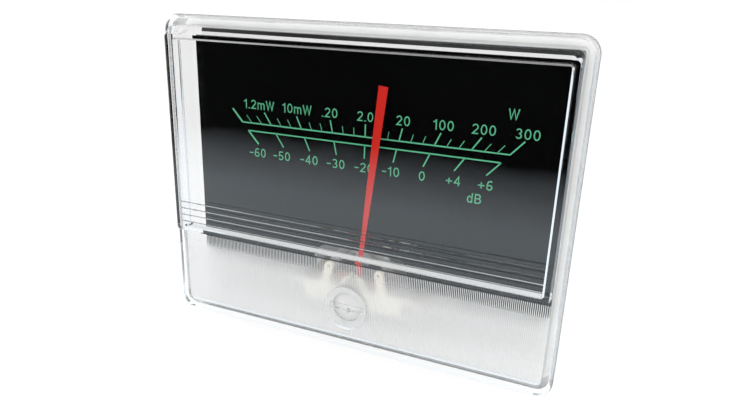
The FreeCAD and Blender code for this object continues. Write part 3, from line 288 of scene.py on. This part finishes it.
def moulded(name, colour, roughness, grain=GRAIN_SIZE, **named):
    """Moulded plastic with a fine eroded grain and faint flow clouds."""
    made = Material(name, colour, roughness, **named)
    made.vary_colour(made.noise(FLOW_SIZE, detail=2), shade(colour, FLOW_SHADE), colour)
    fine = made.noise(grain, detail=4)
    made.vary_roughness(fine, roughness - GRAIN_SPREAD, roughness + GRAIN_SPREAD)
    made.bump(fine, GRAIN_RELIEF)
    return made.data


DUST_SIZE = 0.08 * MM
DUST_SHADES = (0.88, 1.1)
SHEEN_SIZE = 1.2 * MM
SHEEN_SPREAD = 0.07          # of the roughness, each way
PEEL_SIZE = 0.25 * MM
PEEL_RELIEF = 0.004 * MM


def painted(name, colour, roughness, **named):
    """Thin paint or ink: orange peel, with fine dust in it."""
    made = Material(name, colour, roughness, **named)
    dark, light = (shade(colour, factor) for factor in DUST_SHADES)
    made.vary_colour(made.noise(DUST_SIZE, detail=2), dark, light)
    made.vary_roughness(made.noise(SHEEN_SIZE), roughness - SHEEN_SPREAD, roughness + SHEEN_SPREAD)
    made.bump(made.noise(PEEL_SIZE), PEEL_RELIEF)
    return made.data


TARNISH_SIZE = 2.5 * MM
TARNISH_WARMS = 0.06         # each of red, green and blue is dulled by this more than the last
TOOL_MARK_SIZE = 0.12 * MM
TOOL_MARK_ROUGHNESS = (0.75, 1.3)    # shares of the metal's, in the marks and between them
TOOL_MARK_RELIEF = 0.006 * MM
ALONG_Y = (0.04, 1, 0.04)    # stretch of the marks
ROLLED = (0.04, 1, 1)


def metal(name, colour, roughness, stretch=(1, 1, 1), tarnish=0.82):
    """Worked metal: tool marks drawn out by stretch, and clouds of dull tarnish."""
    made = Material(name, colour, roughness, metallic=1.0)
    dull = tuple(
        channel * tarnish * (1 - TARNISH_WARMS * i) for i, channel in enumerate(colour))
    made.vary_colour(made.noise(TARNISH_SIZE), dull, colour)
    marks = made.noise(TOOL_MARK_SIZE, detail=2, stretch=stretch)
    made.vary_roughness(marks, *(roughness * share for share in TOOL_MARK_ROUGHNESS))
    made.bump(marks, TOOL_MARK_RELIEF)
    return made.data


WIRE_PITCH = 0.13 * MM
WIRE_RELIEF = 0.04 * MM
WIRE_CLOUD_SIZE = 1.5 * MM
WIRE_DARK = (0.42, 0.11, 0.05)
WIRE_LIGHT = (0.66, 0.23, 0.1)


def enamelled_wire():
    """Fine copper wire wound side by side, under varnish."""
    made = Material(
        "copper", WIRE_LIGHT, 0.28, metallic=1.0, coat_weight=0.5, coat_roughness=0.12)
    turns = made.math("PINGPONG", made.axes()["Z"], WIRE_PITCH / 2)
    made.vary_colour(made.noise(WIRE_CLOUD_SIZE), WIRE_DARK, WIRE_LIGHT)
    made.bump(made.ramp(turns, 0, WIRE_PITCH / 2), WIRE_RELIEF)
    return made.data


FINISHES = {
    "clear_plastic": clear_plastic("clear_plastic", panel_dullness),
    "clear_screw": clear_plastic("clear_screw", screw_dullness),
    "dial_black": painted("dial_black", (0.0012, 0.0012, 0.0014), 0.5, specular_ior_level=0.04),
    "print_green": painted("print_green", (0.12, 0.52, 0.29), 0.55, specular_ior_level=0.2),
    "pointer_red": painted("pointer_red", (0.62, 0.014, 0.006), 0.42, specular_ior_level=0.2),
    "white_plastic": moulded(
        "white_plastic", (0.93, 0.93, 0.92), 0.5, subsurface_weight=1.0,
        subsurface_radius=(1, 1, 1), subsurface_scale=5 * MM),
    "white_mark": moulded("white_mark", (0.84, 0.84, 0.83), 0.5),
    "ivory_plastic": moulded("ivory_plastic", (0.84, 0.77, 0.62), 0.42),
    "lamp_plastic": moulded("lamp_plastic", (0.76, 0.74, 0.68), 0.42, 0.25 * MM),
    "sleeve_rubber": moulded("sleeve_rubber", (0.5, 0.47, 0.4), 0.75, 0.1 * MM),
    "black_screw": metal("black_screw", (0.035, 0.035, 0.037), 0.42, ALONG_Y),
    "aluminium": metal("aluminium", (0.78, 0.79, 0.8), 0.34, ROLLED, 0.9),
    "brass": metal("brass", (0.72, 0.54, 0.27), 0.28, ALONG_Y),
    "tinned_brass": metal("tinned_brass", (0.76, 0.75, 0.71), 0.36, ROLLED, 0.7),
    "bronze": metal("bronze", (0.62, 0.38, 0.18), 0.3, ALONG_Y),
    "copper": enamelled_wire(),
    "magnet": metal("magnet", (0.33, 0.33, 0.34), 0.5),
    "steel": metal("steel", (0.62, 0.62, 0.63), 0.32, ALONG_Y),
    "nickel": metal("nickel", (0.73, 0.71, 0.66), 0.2, ALONG_Y, 0.9),
    "bulb_glass": moulded(
        "bulb_glass", (0.95, 0.97, 0.96), 0.12, 3 * MM, transmission_weight=1.0, ior=1.52),
}


# Nodes whose finish isn't the one named by their slot
FINISH_OF = {
    "zero_lever": "tinned_brass", "front_bearing": "nickel", "zero_adjuster": "clear_screw",
    "front_bridge": "ivory_plastic"}
CREASE = math.radians(20)    # edges of smooth pieces that are sharper than this stay crisp


def dress_nodes():
    for entry in frame["record"]["subparts"]:
        mesh = NODES[entry["node"]].data
        mesh.materials.clear()
        mesh.materials.append(FINISHES[FINISH_OF.get(entry["node"], entry["material_slot"])])


def as_object(name, made):
    mesh = bpy.data.meshes.new(name)
    made.to_mesh(mesh)
    made.free()
    piece = bpy.data.objects.new(name, mesh)
    bpy.context.scene.collection.objects.link(piece)
    return piece


def finished(name, made, slot, body, smooth=False):
    """The built mesh as a piece that rides on a body, with its slot's finish."""
    piece = as_object(name, made)
    if smooth:
        piece.data.shade_smooth()
        piece.data.set_sharp_from_angle(angle=CREASE)
    piece.data.materials.append(FINISHES[slot])
    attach(piece, body)
    return piece


# ---------------------------------------------------------------- reeded cover
WELD = 0.0005 * MM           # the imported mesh's corners within this are one


def add_prism(made, x, low, high):
    """A V-shaped bar that stands behind the panel and cuts into it."""
    outline = [(x - REED_WIDTH, PANEL_REAR + REED_DEPTH), (x + REED_WIDTH, PANEL_REAR + REED_DEPTH),
               (x, PANEL_REAR - REED_DEPTH)]
    ends = [[made.verts.new((u * MM, v * MM, z * MM)) for u, v in outline] for z in (low, high)]
    made.faces.new(ends[0])
    made.faces.new(reversed(ends[1]))
    for i in range(3):
        j = (i + 1) % 3
        made.faces.new((ends[0][j], ends[0][i], ends[1][i], ends[1][j]))


def reeds():
    """Upright grooves in the back of the lower panel, broken off round the adjuster."""
    made = bmesh.new()
    last = round(REED_SIDE / REED_PITCH)
    for i in range(-last, last + 1):
        x = i * REED_PITCH
        if abs(x) < REED_LAND:
            reach = math.sqrt(REED_LAND ** 2 - x ** 2)
            add_prism(made, x, REED_FOOT, ADJUSTER_Z - reach)
            add_prism(made, x, ADJUSTER_Z + reach, REED_TOP)
        else:
            add_prism(made, x, REED_FOOT, REED_TOP)
    return made


def reeded_cover():
    """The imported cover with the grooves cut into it, once its split corners are joined."""
    packed = NODES["front_cover"].data
    body = bmesh.new()
    corners = [body.verts.new(vertex.co) for vertex in packed.vertices]
    for polygon in packed.polygons:
        body.faces.new([corners[i] for i in polygon.vertices])
    bmesh.ops.remove_doubles(body, verts=body.verts, dist=WELD)
    block = as_object("block", body)
    cutter = as_object("cutter", reeds())
    cut = block.modifiers.new("cut", "BOOLEAN")
    cut.operation = "DIFFERENCE"
    cut.solver = "EXACT"
    cut.object = cutter
    bpy.context.view_layer.update()
    ready = block.evaluated_get(bpy.context.evaluated_depsgraph_get())
    whole = bmesh.new()
    whole.from_mesh(ready.to_mesh())
    for helper in (block, cutter):
        bpy.data.meshes.remove(helper.data)
    piece = finished("reeded_cover", whole, "clear_plastic", "meter", smooth=True)
    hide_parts("front_cover")


# ---------------------------------------------------------------- dial print
PRINT_LIFT = 0.02 * MM       # of the ink before the dial's face
CLOSED = 1e-6                # a line whose ends are as near as this is a loop
MITRE = 0.4                  # least cosine that widens a line at its bends
UPPER_LINE = 11.7
UPPER_MIDDLE = 0.15
UPPER_HALF = 30.6
UPPER_PITCH = 2.55
UPPER_TICKS = 12             # to each side of the middle
MAJOR_EVERY = 3
MINOR_TOP = 13.4
MAJOR_TOP = 14.4
END_TOP = 14.6
END_SPREAD = 1.085           # how far the end ticks lean outwards
LOWER_LINE = 9.9
LOWER_MIDDLE = 0.12
LOWER_HALF = 29.08
LOWER_PITCH = 7.27
LOWER_TICKS = 4              # to each side of the middle
LOWER_FOOT = 7.0
BASE_WIDTH = 0.29
MAJOR_WIDTH = 0.27
MINOR_WIDTH = 0.15
FIRST_WIDTH = 0.4            # each scale starts with a bolder line


def add_ribbon(made, points, width):
    """A flat line of even width through (x, z) points, in millimetres on the dial's face."""
    places = [Vector(point) for point in points]
    closed = (places[0] - places[-1]).length < CLOSED
    runs = [(b - a).normalized() for a, b in zip(places, places[1:])]
    edges = []
    for i, place in enumerate(places):
        before = runs[i - 1] if i or closed else runs[0]
        after = runs[i % len(runs)] if i < len(runs) or closed else runs[-1]
        across = Vector((-before.y - after.y, before.x + after.x)).normalized()
        reach = width / 2 / max(across.dot(Vector((-after.y, after.x))), MITRE)
        edges.append([
            made.verts.new((p.x * MM, DIAL_FACE - PRINT_LIFT, p.y * MM))
            for p in (place + across * reach, place - across * reach)])
    for (a, b), (c, d) in zip(edges, edges[1:]):
        made.faces.new((a, b, d, c))


def on_ray(x, z_from, z):
    """The x at height z on the line from the pointer's axis through (x, z_from)."""
    return x * (z - AXIS_Z) / (z_from - AXIS_Z)


def dial_scales():
    made = bmesh.new()
    ends = [(UPPER_MIDDLE + side * UPPER_HALF, UPPER_LINE) for side in (-1, 1)]
    add_ribbon(made, ends, BASE_WIDTH)
    for i in range(-UPPER_TICKS, UPPER_TICKS + 1):
        x = UPPER_MIDDLE + i * UPPER_PITCH
        z, width = (MINOR_TOP, MINOR_WIDTH) if i % MAJOR_EVERY else (MAJOR_TOP, MAJOR_WIDTH)
        top = (x * END_SPREAD, END_TOP) if abs(i) == UPPER_TICKS else (on_ray(x, UPPER_LINE, z), z)
        add_ribbon(made, [(x, UPPER_LINE), top], FIRST_WIDTH if i == -UPPER_TICKS else width)
    ends = [(LOWER_MIDDLE + side * LOWER_HALF, LOWER_LINE) for side in (-1, 1)]
    add_ribbon(made, ends, BASE_WIDTH)
    for i in range(-LOWER_TICKS, LOWER_TICKS + 1):
        x = LOWER_MIDDLE + i * LOWER_PITCH
        foot = (on_ray(x, LOWER_LINE, LOWER_FOOT), LOWER_FOOT)
        add_ribbon(made, [(x, LOWER_LINE), foot], FIRST_WIDTH if i == -LOWER_TICKS else MAJOR_WIDTH)
    finished("dial_scales", made, "print_green", "meter")


ARC_STEP = 15                # degrees between an arc's points


def arc(x, z, reach_x, reach_z, start, end):
    """Points along an ellipse between two directions, in degrees from the right."""
    count = round(abs(end - start) / ARC_STEP)
    turns = [math.radians(start + (end - start) * i / count) for i in range(count + 1)]
    return [(x + reach_x * math.cos(t), z + reach_z * math.sin(t)) for t in turns]


# Each sign's width and its strokes' middle lines, as shares of the capitals' height
SIGNS = {
    "0": (0.62, [arc(0.31, 0.5, 0.235, 0.425, 0, 360)]),
    "1": (0.42, [[(0.3, 0), (0.3, 1)], [(0.02, 0.74), (0.18, 0.79), (0.3, 0.95)]]),
    "2": (0.62, [arc(0.31, 0.69, 0.225, 0.235, 170, -35) + [(0.085, 0.075), (0.58, 0.075)]]),
    "3": (0.62, [
        arc(0.3, 0.72, 0.2, 0.205, 160, -75) + arc(0.3, 0.29, 0.23, 0.215, 75, -155)]),
    "4": (0.64, [[(0.45, 0), (0.45, 0.93), (0.07, 0.29), (0.62, 0.29)]]),
    "5": (0.62, [
        [(0.54, 0.925), (0.17, 0.925), (0.11, 0.5)] + arc(0.3, 0.31, 0.235, 0.235, 130, -155)]),
    "6": (0.62, [
        arc(0.31, 0.3, 0.225, 0.225, 0, 360), arc(0.36, 0.4, 0.275, 0.525, 190, 55)]),
    ".": (0.16, [[(0, 0.075), (0.16, 0.075)]]),
    "-": (0.44, [[(0, 0.42), (0.44, 0.42)]]),
    "+": (0.6, [[(0, 0.42), (0.6, 0.42)], [(0.3, 0.12), (0.3, 0.72)]]),
    "m": (0.86, [
        [(0.075, 0), (0.075, 0.74)],
        arc(0.255, 0.48, 0.18, 0.185, 180, 0) + [(0.435, 0)],
        arc(0.61, 0.48, 0.175, 0.185, 180, 0) + [(0.785, 0)]]),
    "W": (0.96, [[(0.05, 1), (0.26, 0.06), (0.48, 0.94), (0.7, 0.06), (0.91, 1)]]),
    "d": (0.58, [arc(0.28, 0.36, 0.2, 0.295, 0, 360), [(0.5, 0), (0.5, 1)]]),
    "B": (0.64, [
        [(0.075, 0.515)] + arc(0.33, 0.3, 0.23, 0.225, 90, -90) + [(0.075, 0.075), (0.075, 0.925)]
        + arc(0.31, 0.72, 0.205, 0.205, 90, -90)]),
}
SIGN_HEIGHT = 2.1
SIGN_WIDEN = 1.06
SIGN_STROKE = 0.11           # share of the height
SIGN_GAP = 0.14
# Each label with its middle
LABELS = [
    ("1.2mW", -26.0, 16.0), ("10mW", -16.3, 16.0), (".20", -8.25, 16.0), ("2.0", 0.05, 16.0),
    ("20", 8.5, 16.0), ("100", 17.07, 16.0), ("200", 25.25, 16.0), ("300", 33.7, 16.0),
    ("-60", -26.6, 5.0), ("-50", -20.25, 5.0), ("-40", -13.25, 5.0), ("-30", -6.65, 5.0),
    ("-20", 0.07, 5.0), ("-10", 6.27, 5.0), ("0", 13.2, 5.0), ("+4", 19.9, 5.0),
    ("+6", 26.55, 5.0), ("W", 30.7, 19.55), ("dB", 24.5, 1.9),
]


def dial_numbers():
    made = bmesh.new()
    size = SIGN_HEIGHT * SIGN_WIDEN
    for text, x, z in LABELS:
        widths = [(SIGNS[sign][0] + SIGN_GAP) * size for sign in text]
        left = x - (sum(widths) - SIGN_GAP * size) / 2
        for sign, width in zip(text, widths):
            for stroke in SIGNS[sign][1]:
                points = [(left + u * size, z + (v - 0.5) * SIGN_HEIGHT) for u, v in stroke]
                add_ribbon(made, points, SIGN_STROKE * SIGN_HEIGHT)
            left += width
    finished("dial_numbers", made, "print_green", "meter")


# ---------------------------------------------------------------- threads and nuts
COLUMNS = 48                 # points round each ring
TERMINAL_X = 12.5
TERMINAL_Z = 4.0
TERMINAL_RADIUS = 2.0
TERMINAL_PITCH = 0.7
TERMINAL_FLATS = 7.0         # across a nut's flats
MOUNT_X = 33.0
MOUNT_RADIUS = 1.5
MOUNT_PITCH = 0.5
MOUNT_SHOULDER = 2.0
MOUNT_HEAD = 2.8
MOUNT_HEAD_THICK = 0.8
THREAD_DEPTH = 0.55          # share of the pitch
THREAD_ROWS = 8              # rings to a turn
THREAD_POINT = 0.6           # chamfer at the end
NUT_FACE = 0.94              # radius of a nut's flat face, as a share of half its flats
NUT_CHAMFER = math.radians(30)
NUT_SINK = 0.35              # chamfer of the bore
FLOOR_REAR = 30.0            # outside of the housing's floor
WALL = 2.0


def ring(x, z, spots):
    """Points round an axis along Y at (x, z), from one (y, radius) for each column."""
    points = []
    for i, (y, radius) in enumerate(spots):
        turn = 2 * math.pi * i / COLUMNS
        points.append(Vector((x + radius * math.cos(turn), y, z + radius * math.sin(turn))) * MM)
    return points


def add_rings(made, rings, closed=False):
    """Skin over rings of points, which closes on itself or gets a flat face at each end."""
    rows = [[made.verts.new(point) for point in points] for points in rings]
    pairs = list(zip(rows, rows[1:]))
    if closed:
        pairs.append((rows[-1], rows[0]))
    else:
        made.faces.new(rows[0])
        made.faces.new(reversed(rows[-1]))
    for near, far in pairs:
        for i in range(len(near)):
            j = (i + 1) % len(near)
            made.faces.new((near[j], near[i], far[i], far[j]))


def plain_ring(x, z, y, radius):
    return ring(x, z, [(y, radius)] * COLUMNS)


def hexagon_radii(flats):
    """How far a hexagon reaches at each column."""
    turns = [math.radians(360 * i / COLUMNS % 60 - 30) for i in range(COLUMNS)]
    return [flats / 2 / math.cos(turn) for turn in turns]


def chamfered_rings(x, z, flats, y, inwards):
    """The flat face and the scalloped chamfer at one end of a nut; inwards is 1 or -1."""
    face = NUT_FACE * flats / 2
    slope = inwards * math.tan(NUT_CHAMFER)
    corners = [(y + (radius - face) * slope, radius) for radius in hexagon_radii(flats)]
    return [plain_ring(x, z, y, face), ring(x, z, corners)]


def add_nut(made, x, z, flats, bore, front, rear):
    """A nut between front and rear, with its faces and its bore chamfered."""
    first, last = (chamfered_rings(x, z, flats, y, way) for y, way in ((front, 1), (rear, -1)))
    sink = bore + NUT_SINK
    add_rings(made, [
        plain_ring(x, z, front + NUT_SINK, bore), plain_ring(x, z, front, sink), *first,
        *reversed(last), plain_ring(x, z, rear, sink), plain_ring(x, z, rear - NUT_SINK, bore),
    ], closed=True)


def thread_rings(x, z, radius, pitch, start, end):
    """A screw's thread from start to its pointed end."""
    rings = []
    steps = round((end - start) / (pitch / THREAD_ROWS))
    for row in range(steps + 1):
        y = start + (end - start) * row / steps
        spots = []
        for i in range(COLUMNS):
            turn = 2 * math.pi * (y / pitch - i / COLUMNS)
            depth = THREAD_DEPTH * pitch * (0.5 - 0.5 * math.cos(turn))
            spots.append((y, min(radius - depth, radius - THREAD_POINT + end - y)))
        rings.append(ring(x, z, spots))
    return rings


MARK_RADIUS = 2.6            # where the mould's ejector pins met the floor
MARK_X = 37.5
MARK_Z = 26.0
MARK_HIGH = 0.15
POLARITY_BELOW = 8.5         # the raised plus and minus, below the terminals
POLARITY_ARM = 1.6           # half their length
POLARITY_HALF = 0.35         # half their stroke's width
POLARITY_HIGH = 0.3
POLARITY_DRAFT = 0.12


def add_bar(made, x, z, half_x, half_z):
    """A raised bar on the housing's floor, with drafted sides."""
    rows = []
    for y, inset in ((FLOOR_REAR - SKIN, 0), (FLOOR_REAR + POLARITY_HIGH, POLARITY_DRAFT)):
        u, v = half_x - inset, half_z - inset
        corners = ((x + u, z + v), (x - u, z + v), (x - u, z - v), (x + u, z - v))
        rows.append([Vector((a, y, b)) * MM for a, b in corners])
    add_rings(made, rows)


def housing_marks():
    """Ejector marks in the corners of the housing's floor, and the terminals' polarity."""
    made = bmesh.new()
    for x in (-MARK_X, MARK_X):
        for z in (-MARK_Z, MARK_Z):
            add_rings(made, [
                plain_ring(x, z, FLOOR_REAR - SKIN, MARK_RADIUS),
                plain_ring(x, z, FLOOR_REAR + MARK_HIGH / 2, MARK_RADIUS - MARK_HIGH / 4),
                plain_ring(x, z, FLOOR_REAR + MARK_HIGH, MARK_RADIUS - MARK_HIGH)])
    z = TERMINAL_Z - POLARITY_BELOW
    for x in (-TERMINAL_X, TERMINAL_X):
        add_bar(made, x, z, POLARITY_ARM, POLARITY_HALF)
    away = (POLARITY_ARM + POLARITY_HALF) / 2 - POLARITY_DRAFT
    half = (POLARITY_ARM - POLARITY_HALF) / 2 + POLARITY_DRAFT
    for offset in (away, -away):
        add_bar(made, TERMINAL_X, z + offset, POLARITY_HALF, half)
    finished("housing_marks", made, "white_mark", "meter")


def studs():
    """The terminals' and the mounting studs, with their threads cut."""
    low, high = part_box("terminal_studs")
    made = bmesh.new()
    head_rear = FLOOR_REAR - WALL
    for x in (-TERMINAL_X, TERMINAL_X):
        head = chamfered_rings(x, TERMINAL_Z, TERMINAL_FLATS, low.y / MM, 1)
        square = ring(x, TERMINAL_Z, [(head_rear, r) for r in hexagon_radii(TERMINAL_FLATS)])
        neck = [plain_ring(x, TERMINAL_Z, y, TERMINAL_RADIUS) for y in (head_rear, FLOOR_REAR)]
        add_rings(made, [*head, square, *neck, *thread_rings(
            x, TERMINAL_Z, TERMINAL_RADIUS, TERMINAL_PITCH, FLOOR_REAR + SKIN, high.y / MM)])
    piece = finished("threaded_terminals", made, "nickel", "meter", smooth=True)
    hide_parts("terminal_studs")

    low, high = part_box("mounting_studs")
    made = bmesh.new()
    boss = low.y / MM + MOUNT_HEAD_THICK
    for x in (-MOUNT_X, MOUNT_X):
        turned = [(low.y / MM, MOUNT_HEAD), (boss, MOUNT_HEAD), (boss, MOUNT_SHOULDER),
                  (FLOOR_REAR, MOUNT_SHOULDER), (FLOOR_REAR, MOUNT_RADIUS)]
        add_rings(made, [plain_ring(x, 0, y, radius) for y, radius in turned] + thread_rings(
            x, 0, MOUNT_RADIUS, MOUNT_PITCH, FLOOR_REAR + SKIN, high.y / MM))
    piece = finished("threaded_mounts", made, "steel", "meter", smooth=True)
    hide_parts("mounting_studs")


def nuts(name, node):
    """Hexagon nuts with both faces chamfered, in a node's place on the terminals."""
    low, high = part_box(node)
    made = bmesh.new()
    bore = TERMINAL_RADIUS + SKIN
    for x in (-TERMINAL_X, TERMINAL_X):
        add_nut(made, x, TERMINAL_Z, TERMINAL_FLATS, bore, low.y / MM, high.y / MM)
    piece = finished(name, made, "nickel", "meter", smooth=True)
    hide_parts(node)


# ---------------------------------------------------------------- pointer
POINTER_TURN = math.radians(5.9)     # at rest, clockwise from upright
POINTER_REACH = 45.1
POINTER_TIP = 2.1
POINTER_NECK = 1.3
POINTER_NECK_AT = 18.0
POINTER_WAIST = 1.0                  # where the stops meet it
POINTER_WAIST_AT = 13.0
POINTER_ROOT = 1.4
POINTER_DISC = 2.3
POINTER_EYE = 1.02
POINTER_EDGE = 0.04                  # rounding of the blade's edges
DISC_STEPS = 24                      # round the disc


def blade_outline(inset):
    """(sideways, along) points round the blade and its disc, from the tip's right corner."""
    widths = (POINTER_TIP, POINTER_NECK, POINTER_WAIST, POINTER_ROOT)
    half = [width / 2 - inset for width in widths]
    disc = POINTER_DISC - inset
    root = math.sqrt(disc ** 2 - half[-1] ** 2)
    right = list(zip(half, (POINTER_REACH - inset, POINTER_NECK_AT, POINTER_WAIST_AT, root)))
    start = math.atan2(half[-1], root)
    turns = [start + (2 * math.pi - 2 * start) * i / DISC_STEPS for i in range(1, DISC_STEPS)]
    foot = [(disc * math.sin(t), disc * math.cos(t)) for t in turns]
    return right + foot + [(-u, s) for u, s in reversed(right)]


def pointer():
    """The blade with its edges rounded by the paint, and its disc round the hub."""
    low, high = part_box("pointer")
    front, rear = low.y / MM, high.y / MM
    outer = blade_outline(0)
    inner = blade_outline(POINTER_EDGE)
    eye = []
    for u, s in outer:
        reach = math.hypot(u, s)
        eye.append((POINTER_EYE * u / reach, POINTER_EYE * s / reach))
    across = Vector((math.cos(POINTER_TURN), 0, -math.sin(POINTER_TURN)))
    ahead = Vector((math.sin(POINTER_TURN), 0, math.cos(POINTER_TURN)))
    axis = Vector((0, 0, AXIS_Z))
    rings = []
    for points, y in (
            (eye, front), (inner, front), (outer, front + POINTER_EDGE),
            (outer, rear - POINTER_EDGE), (inner, rear), (eye, rear)):
        rings.append([(axis + across * u + ahead * s + Vector((0, y, 0))) * MM for u, s in points])
    made = bmesh.new()
    add_rings(made, rings, closed=True)
    piece = finished("pointer_blade", made, "pointer_red", "moving_coil")
    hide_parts("pointer")


# ---------------------------------------------------------------- surroundings
FLOOR_FRONT = -0.19
FLOOR_REACH = 3.0
FLOOR_WHITE = 0.85           # of the floor as it lights the meter
FLOOR_SHADE = 0.35           # of the floor as it is seen, which also glows and so is paler
FLOOR_GLOW = 0.72
FLOOR_COOL = (0.84, 0.93, 1.0, 1)    # of the floor as shiny faces mirror it
FADE_FROM = -0.1             # in front of this the mirrored floor fades out
BLACK = (0, 0, 0, 1)
WHITE = (1, 1, 1, 1)
# Directions in which shiny faces mirror a dark room, in front on the left and low, and its ceiling
DARK_FRONT = (-0.3, -0.5)
DARK_LEFT = (0.15, 0.0)
DARK_LOW = (0.1, 0.05)
CEILING = (0.6, 0.85)
CEILING_DARK = 0.7
LAMP_PLACE = Vector((0.1, -0.35, 0.45))
LAMP_SIZE = 0.4
LAMP_POWER = 0.7


def grey(level):
    return (level, level, level, 1)


def floor():
    """A plain pale floor that keeps the meter's shadow."""
    made = bmesh.new()
    z = CAD_BOX[0][2]
    corners = [
        (-FLOOR_REACH, FLOOR_FRONT, z), (FLOOR_REACH, FLOOR_FRONT, z),
        (FLOOR_REACH, FLOOR_REACH, z), (-FLOOR_REACH, FLOOR_REACH, z),
    ]
    made.faces.new([made.verts.new(corner) for corner in corners])
    piece = as_object("floor", made)
    material = bpy.data.materials.new("floor")
    material.use_nodes = True
    net = Net(material.node_tree)
    path = net.node("ShaderNodeLightPath").outputs
    seen = net.math("MAXIMUM", path["Is Camera Ray"], path["Is Glossy Ray"])
    seen = net.math("MAXIMUM", seen, path["Is Transmission Ray"])
    unseen = net.node("ShaderNodeBsdfDiffuse", color=grey(FLOOR_WHITE))
    shaded = net.node("ShaderNodeBsdfDiffuse", color=grey(FLOOR_SHADE))
    glow = net.node("ShaderNodeEmission", strength=FLOOR_GLOW)
    lit = net.node("ShaderNodeAddShader", shaded.outputs[0], glow.outputs[0])
    place = net.node("ShaderNodeTexCoord").outputs["Object"]
    y = net.node("ShaderNodeSeparateXYZ", place).outputs["Y"]
    dark = net.node("ShaderNodeBsdfDiffuse", color=BLACK)
    cool = net.node("ShaderNodeEmission", color=FLOOR_COOL, strength=FLOOR_GLOW + FLOOR_SHADE)
    fade = net.ramp(y, FLOOR_FRONT, FADE_FROM)
    faded = net.node("ShaderNodeMixShader", fade, dark.outputs[0], cool.outputs[0])
    mirrored = net.math("MINIMUM", path["Glossy Depth"], 1.0)
    shown = net.node("ShaderNodeMixShader", mirrored, lit.outputs[0], faded.outputs[0])
    mix = net.node("ShaderNodeMixShader", seen, unseen.outputs[0], shown.outputs[0])
    net.node("ShaderNodeOutputMaterial", surface=mix.outputs[0])
    piece.data.materials.append(material)


def surroundings():
    """White all round, apart from the dark parts of a room that shiny faces mirror."""
    world = bpy.data.worlds.new("studio")
    bpy.context.scene.world = world
    world.use_nodes = True
    net = Net(world.node_tree)
    path = net.node("ShaderNodeLightPath").outputs
    way = net.node("ShaderNodeTexCoord").outputs["Generated"]
    x, y, z = net.node("ShaderNodeSeparateXYZ", way).outputs
    in_front = net.math("MULTIPLY", net.ramp(y, *DARK_FRONT), net.ramp(x, *DARK_LEFT))
    room = net.math("MULTIPLY", in_front, net.ramp(z, *DARK_LOW))
    dark = net.math("MAXIMUM", room, net.ramp(z, *CEILING, 0, CEILING_DARK))
    mirrored = net.math("MINIMUM", path["Glossy Depth"], 1.0)
    lit = net.math("SUBTRACT", 1.0, net.math("MULTIPLY", mirrored, dark))
    # What is seen straight, also through clear plastic, is white
    see_through = net.math("SUBTRACT", path["Is Transmission Ray"], mirrored)
    direct = net.math("MAXIMUM", path["Is Camera Ray"], see_through)
    strength = net.math("MAXIMUM", direct, lit)
    background = net.node("ShaderNodeBackground", strength=strength, color=WHITE)
    net.node("ShaderNodeOutputWorld", surface=background.outputs[0])


def softbox():
    """One soft lamp above the camera, aimed at the meter."""
    light = bpy.data.lights.new("lamp_above", "AREA")
    light.shape = "SQUARE"
    light.size = LAMP_SIZE
    light.energy = LAMP_POWER
    holder = bpy.data.objects.new("lamp_above", light)
    holder.location = LAMP_PLACE
    holder.rotation_euler = (-LAMP_PLACE).to_track_quat("-Z", "Y").to_euler()
    bpy.context.scene.collection.objects.link(holder)


add_camera()
surroundings()
floor()
softbox()
dress_nodes()
reeded_cover()
dial_scales()
dial_numbers()
pointer()
studs()
housing_marks()
nuts("chamfered_nuts", "terminal_nuts")
nuts("chamfered_lug_nuts", "lug_nuts")
bpy.context.scene.view_settings.view_transform = "Standard"
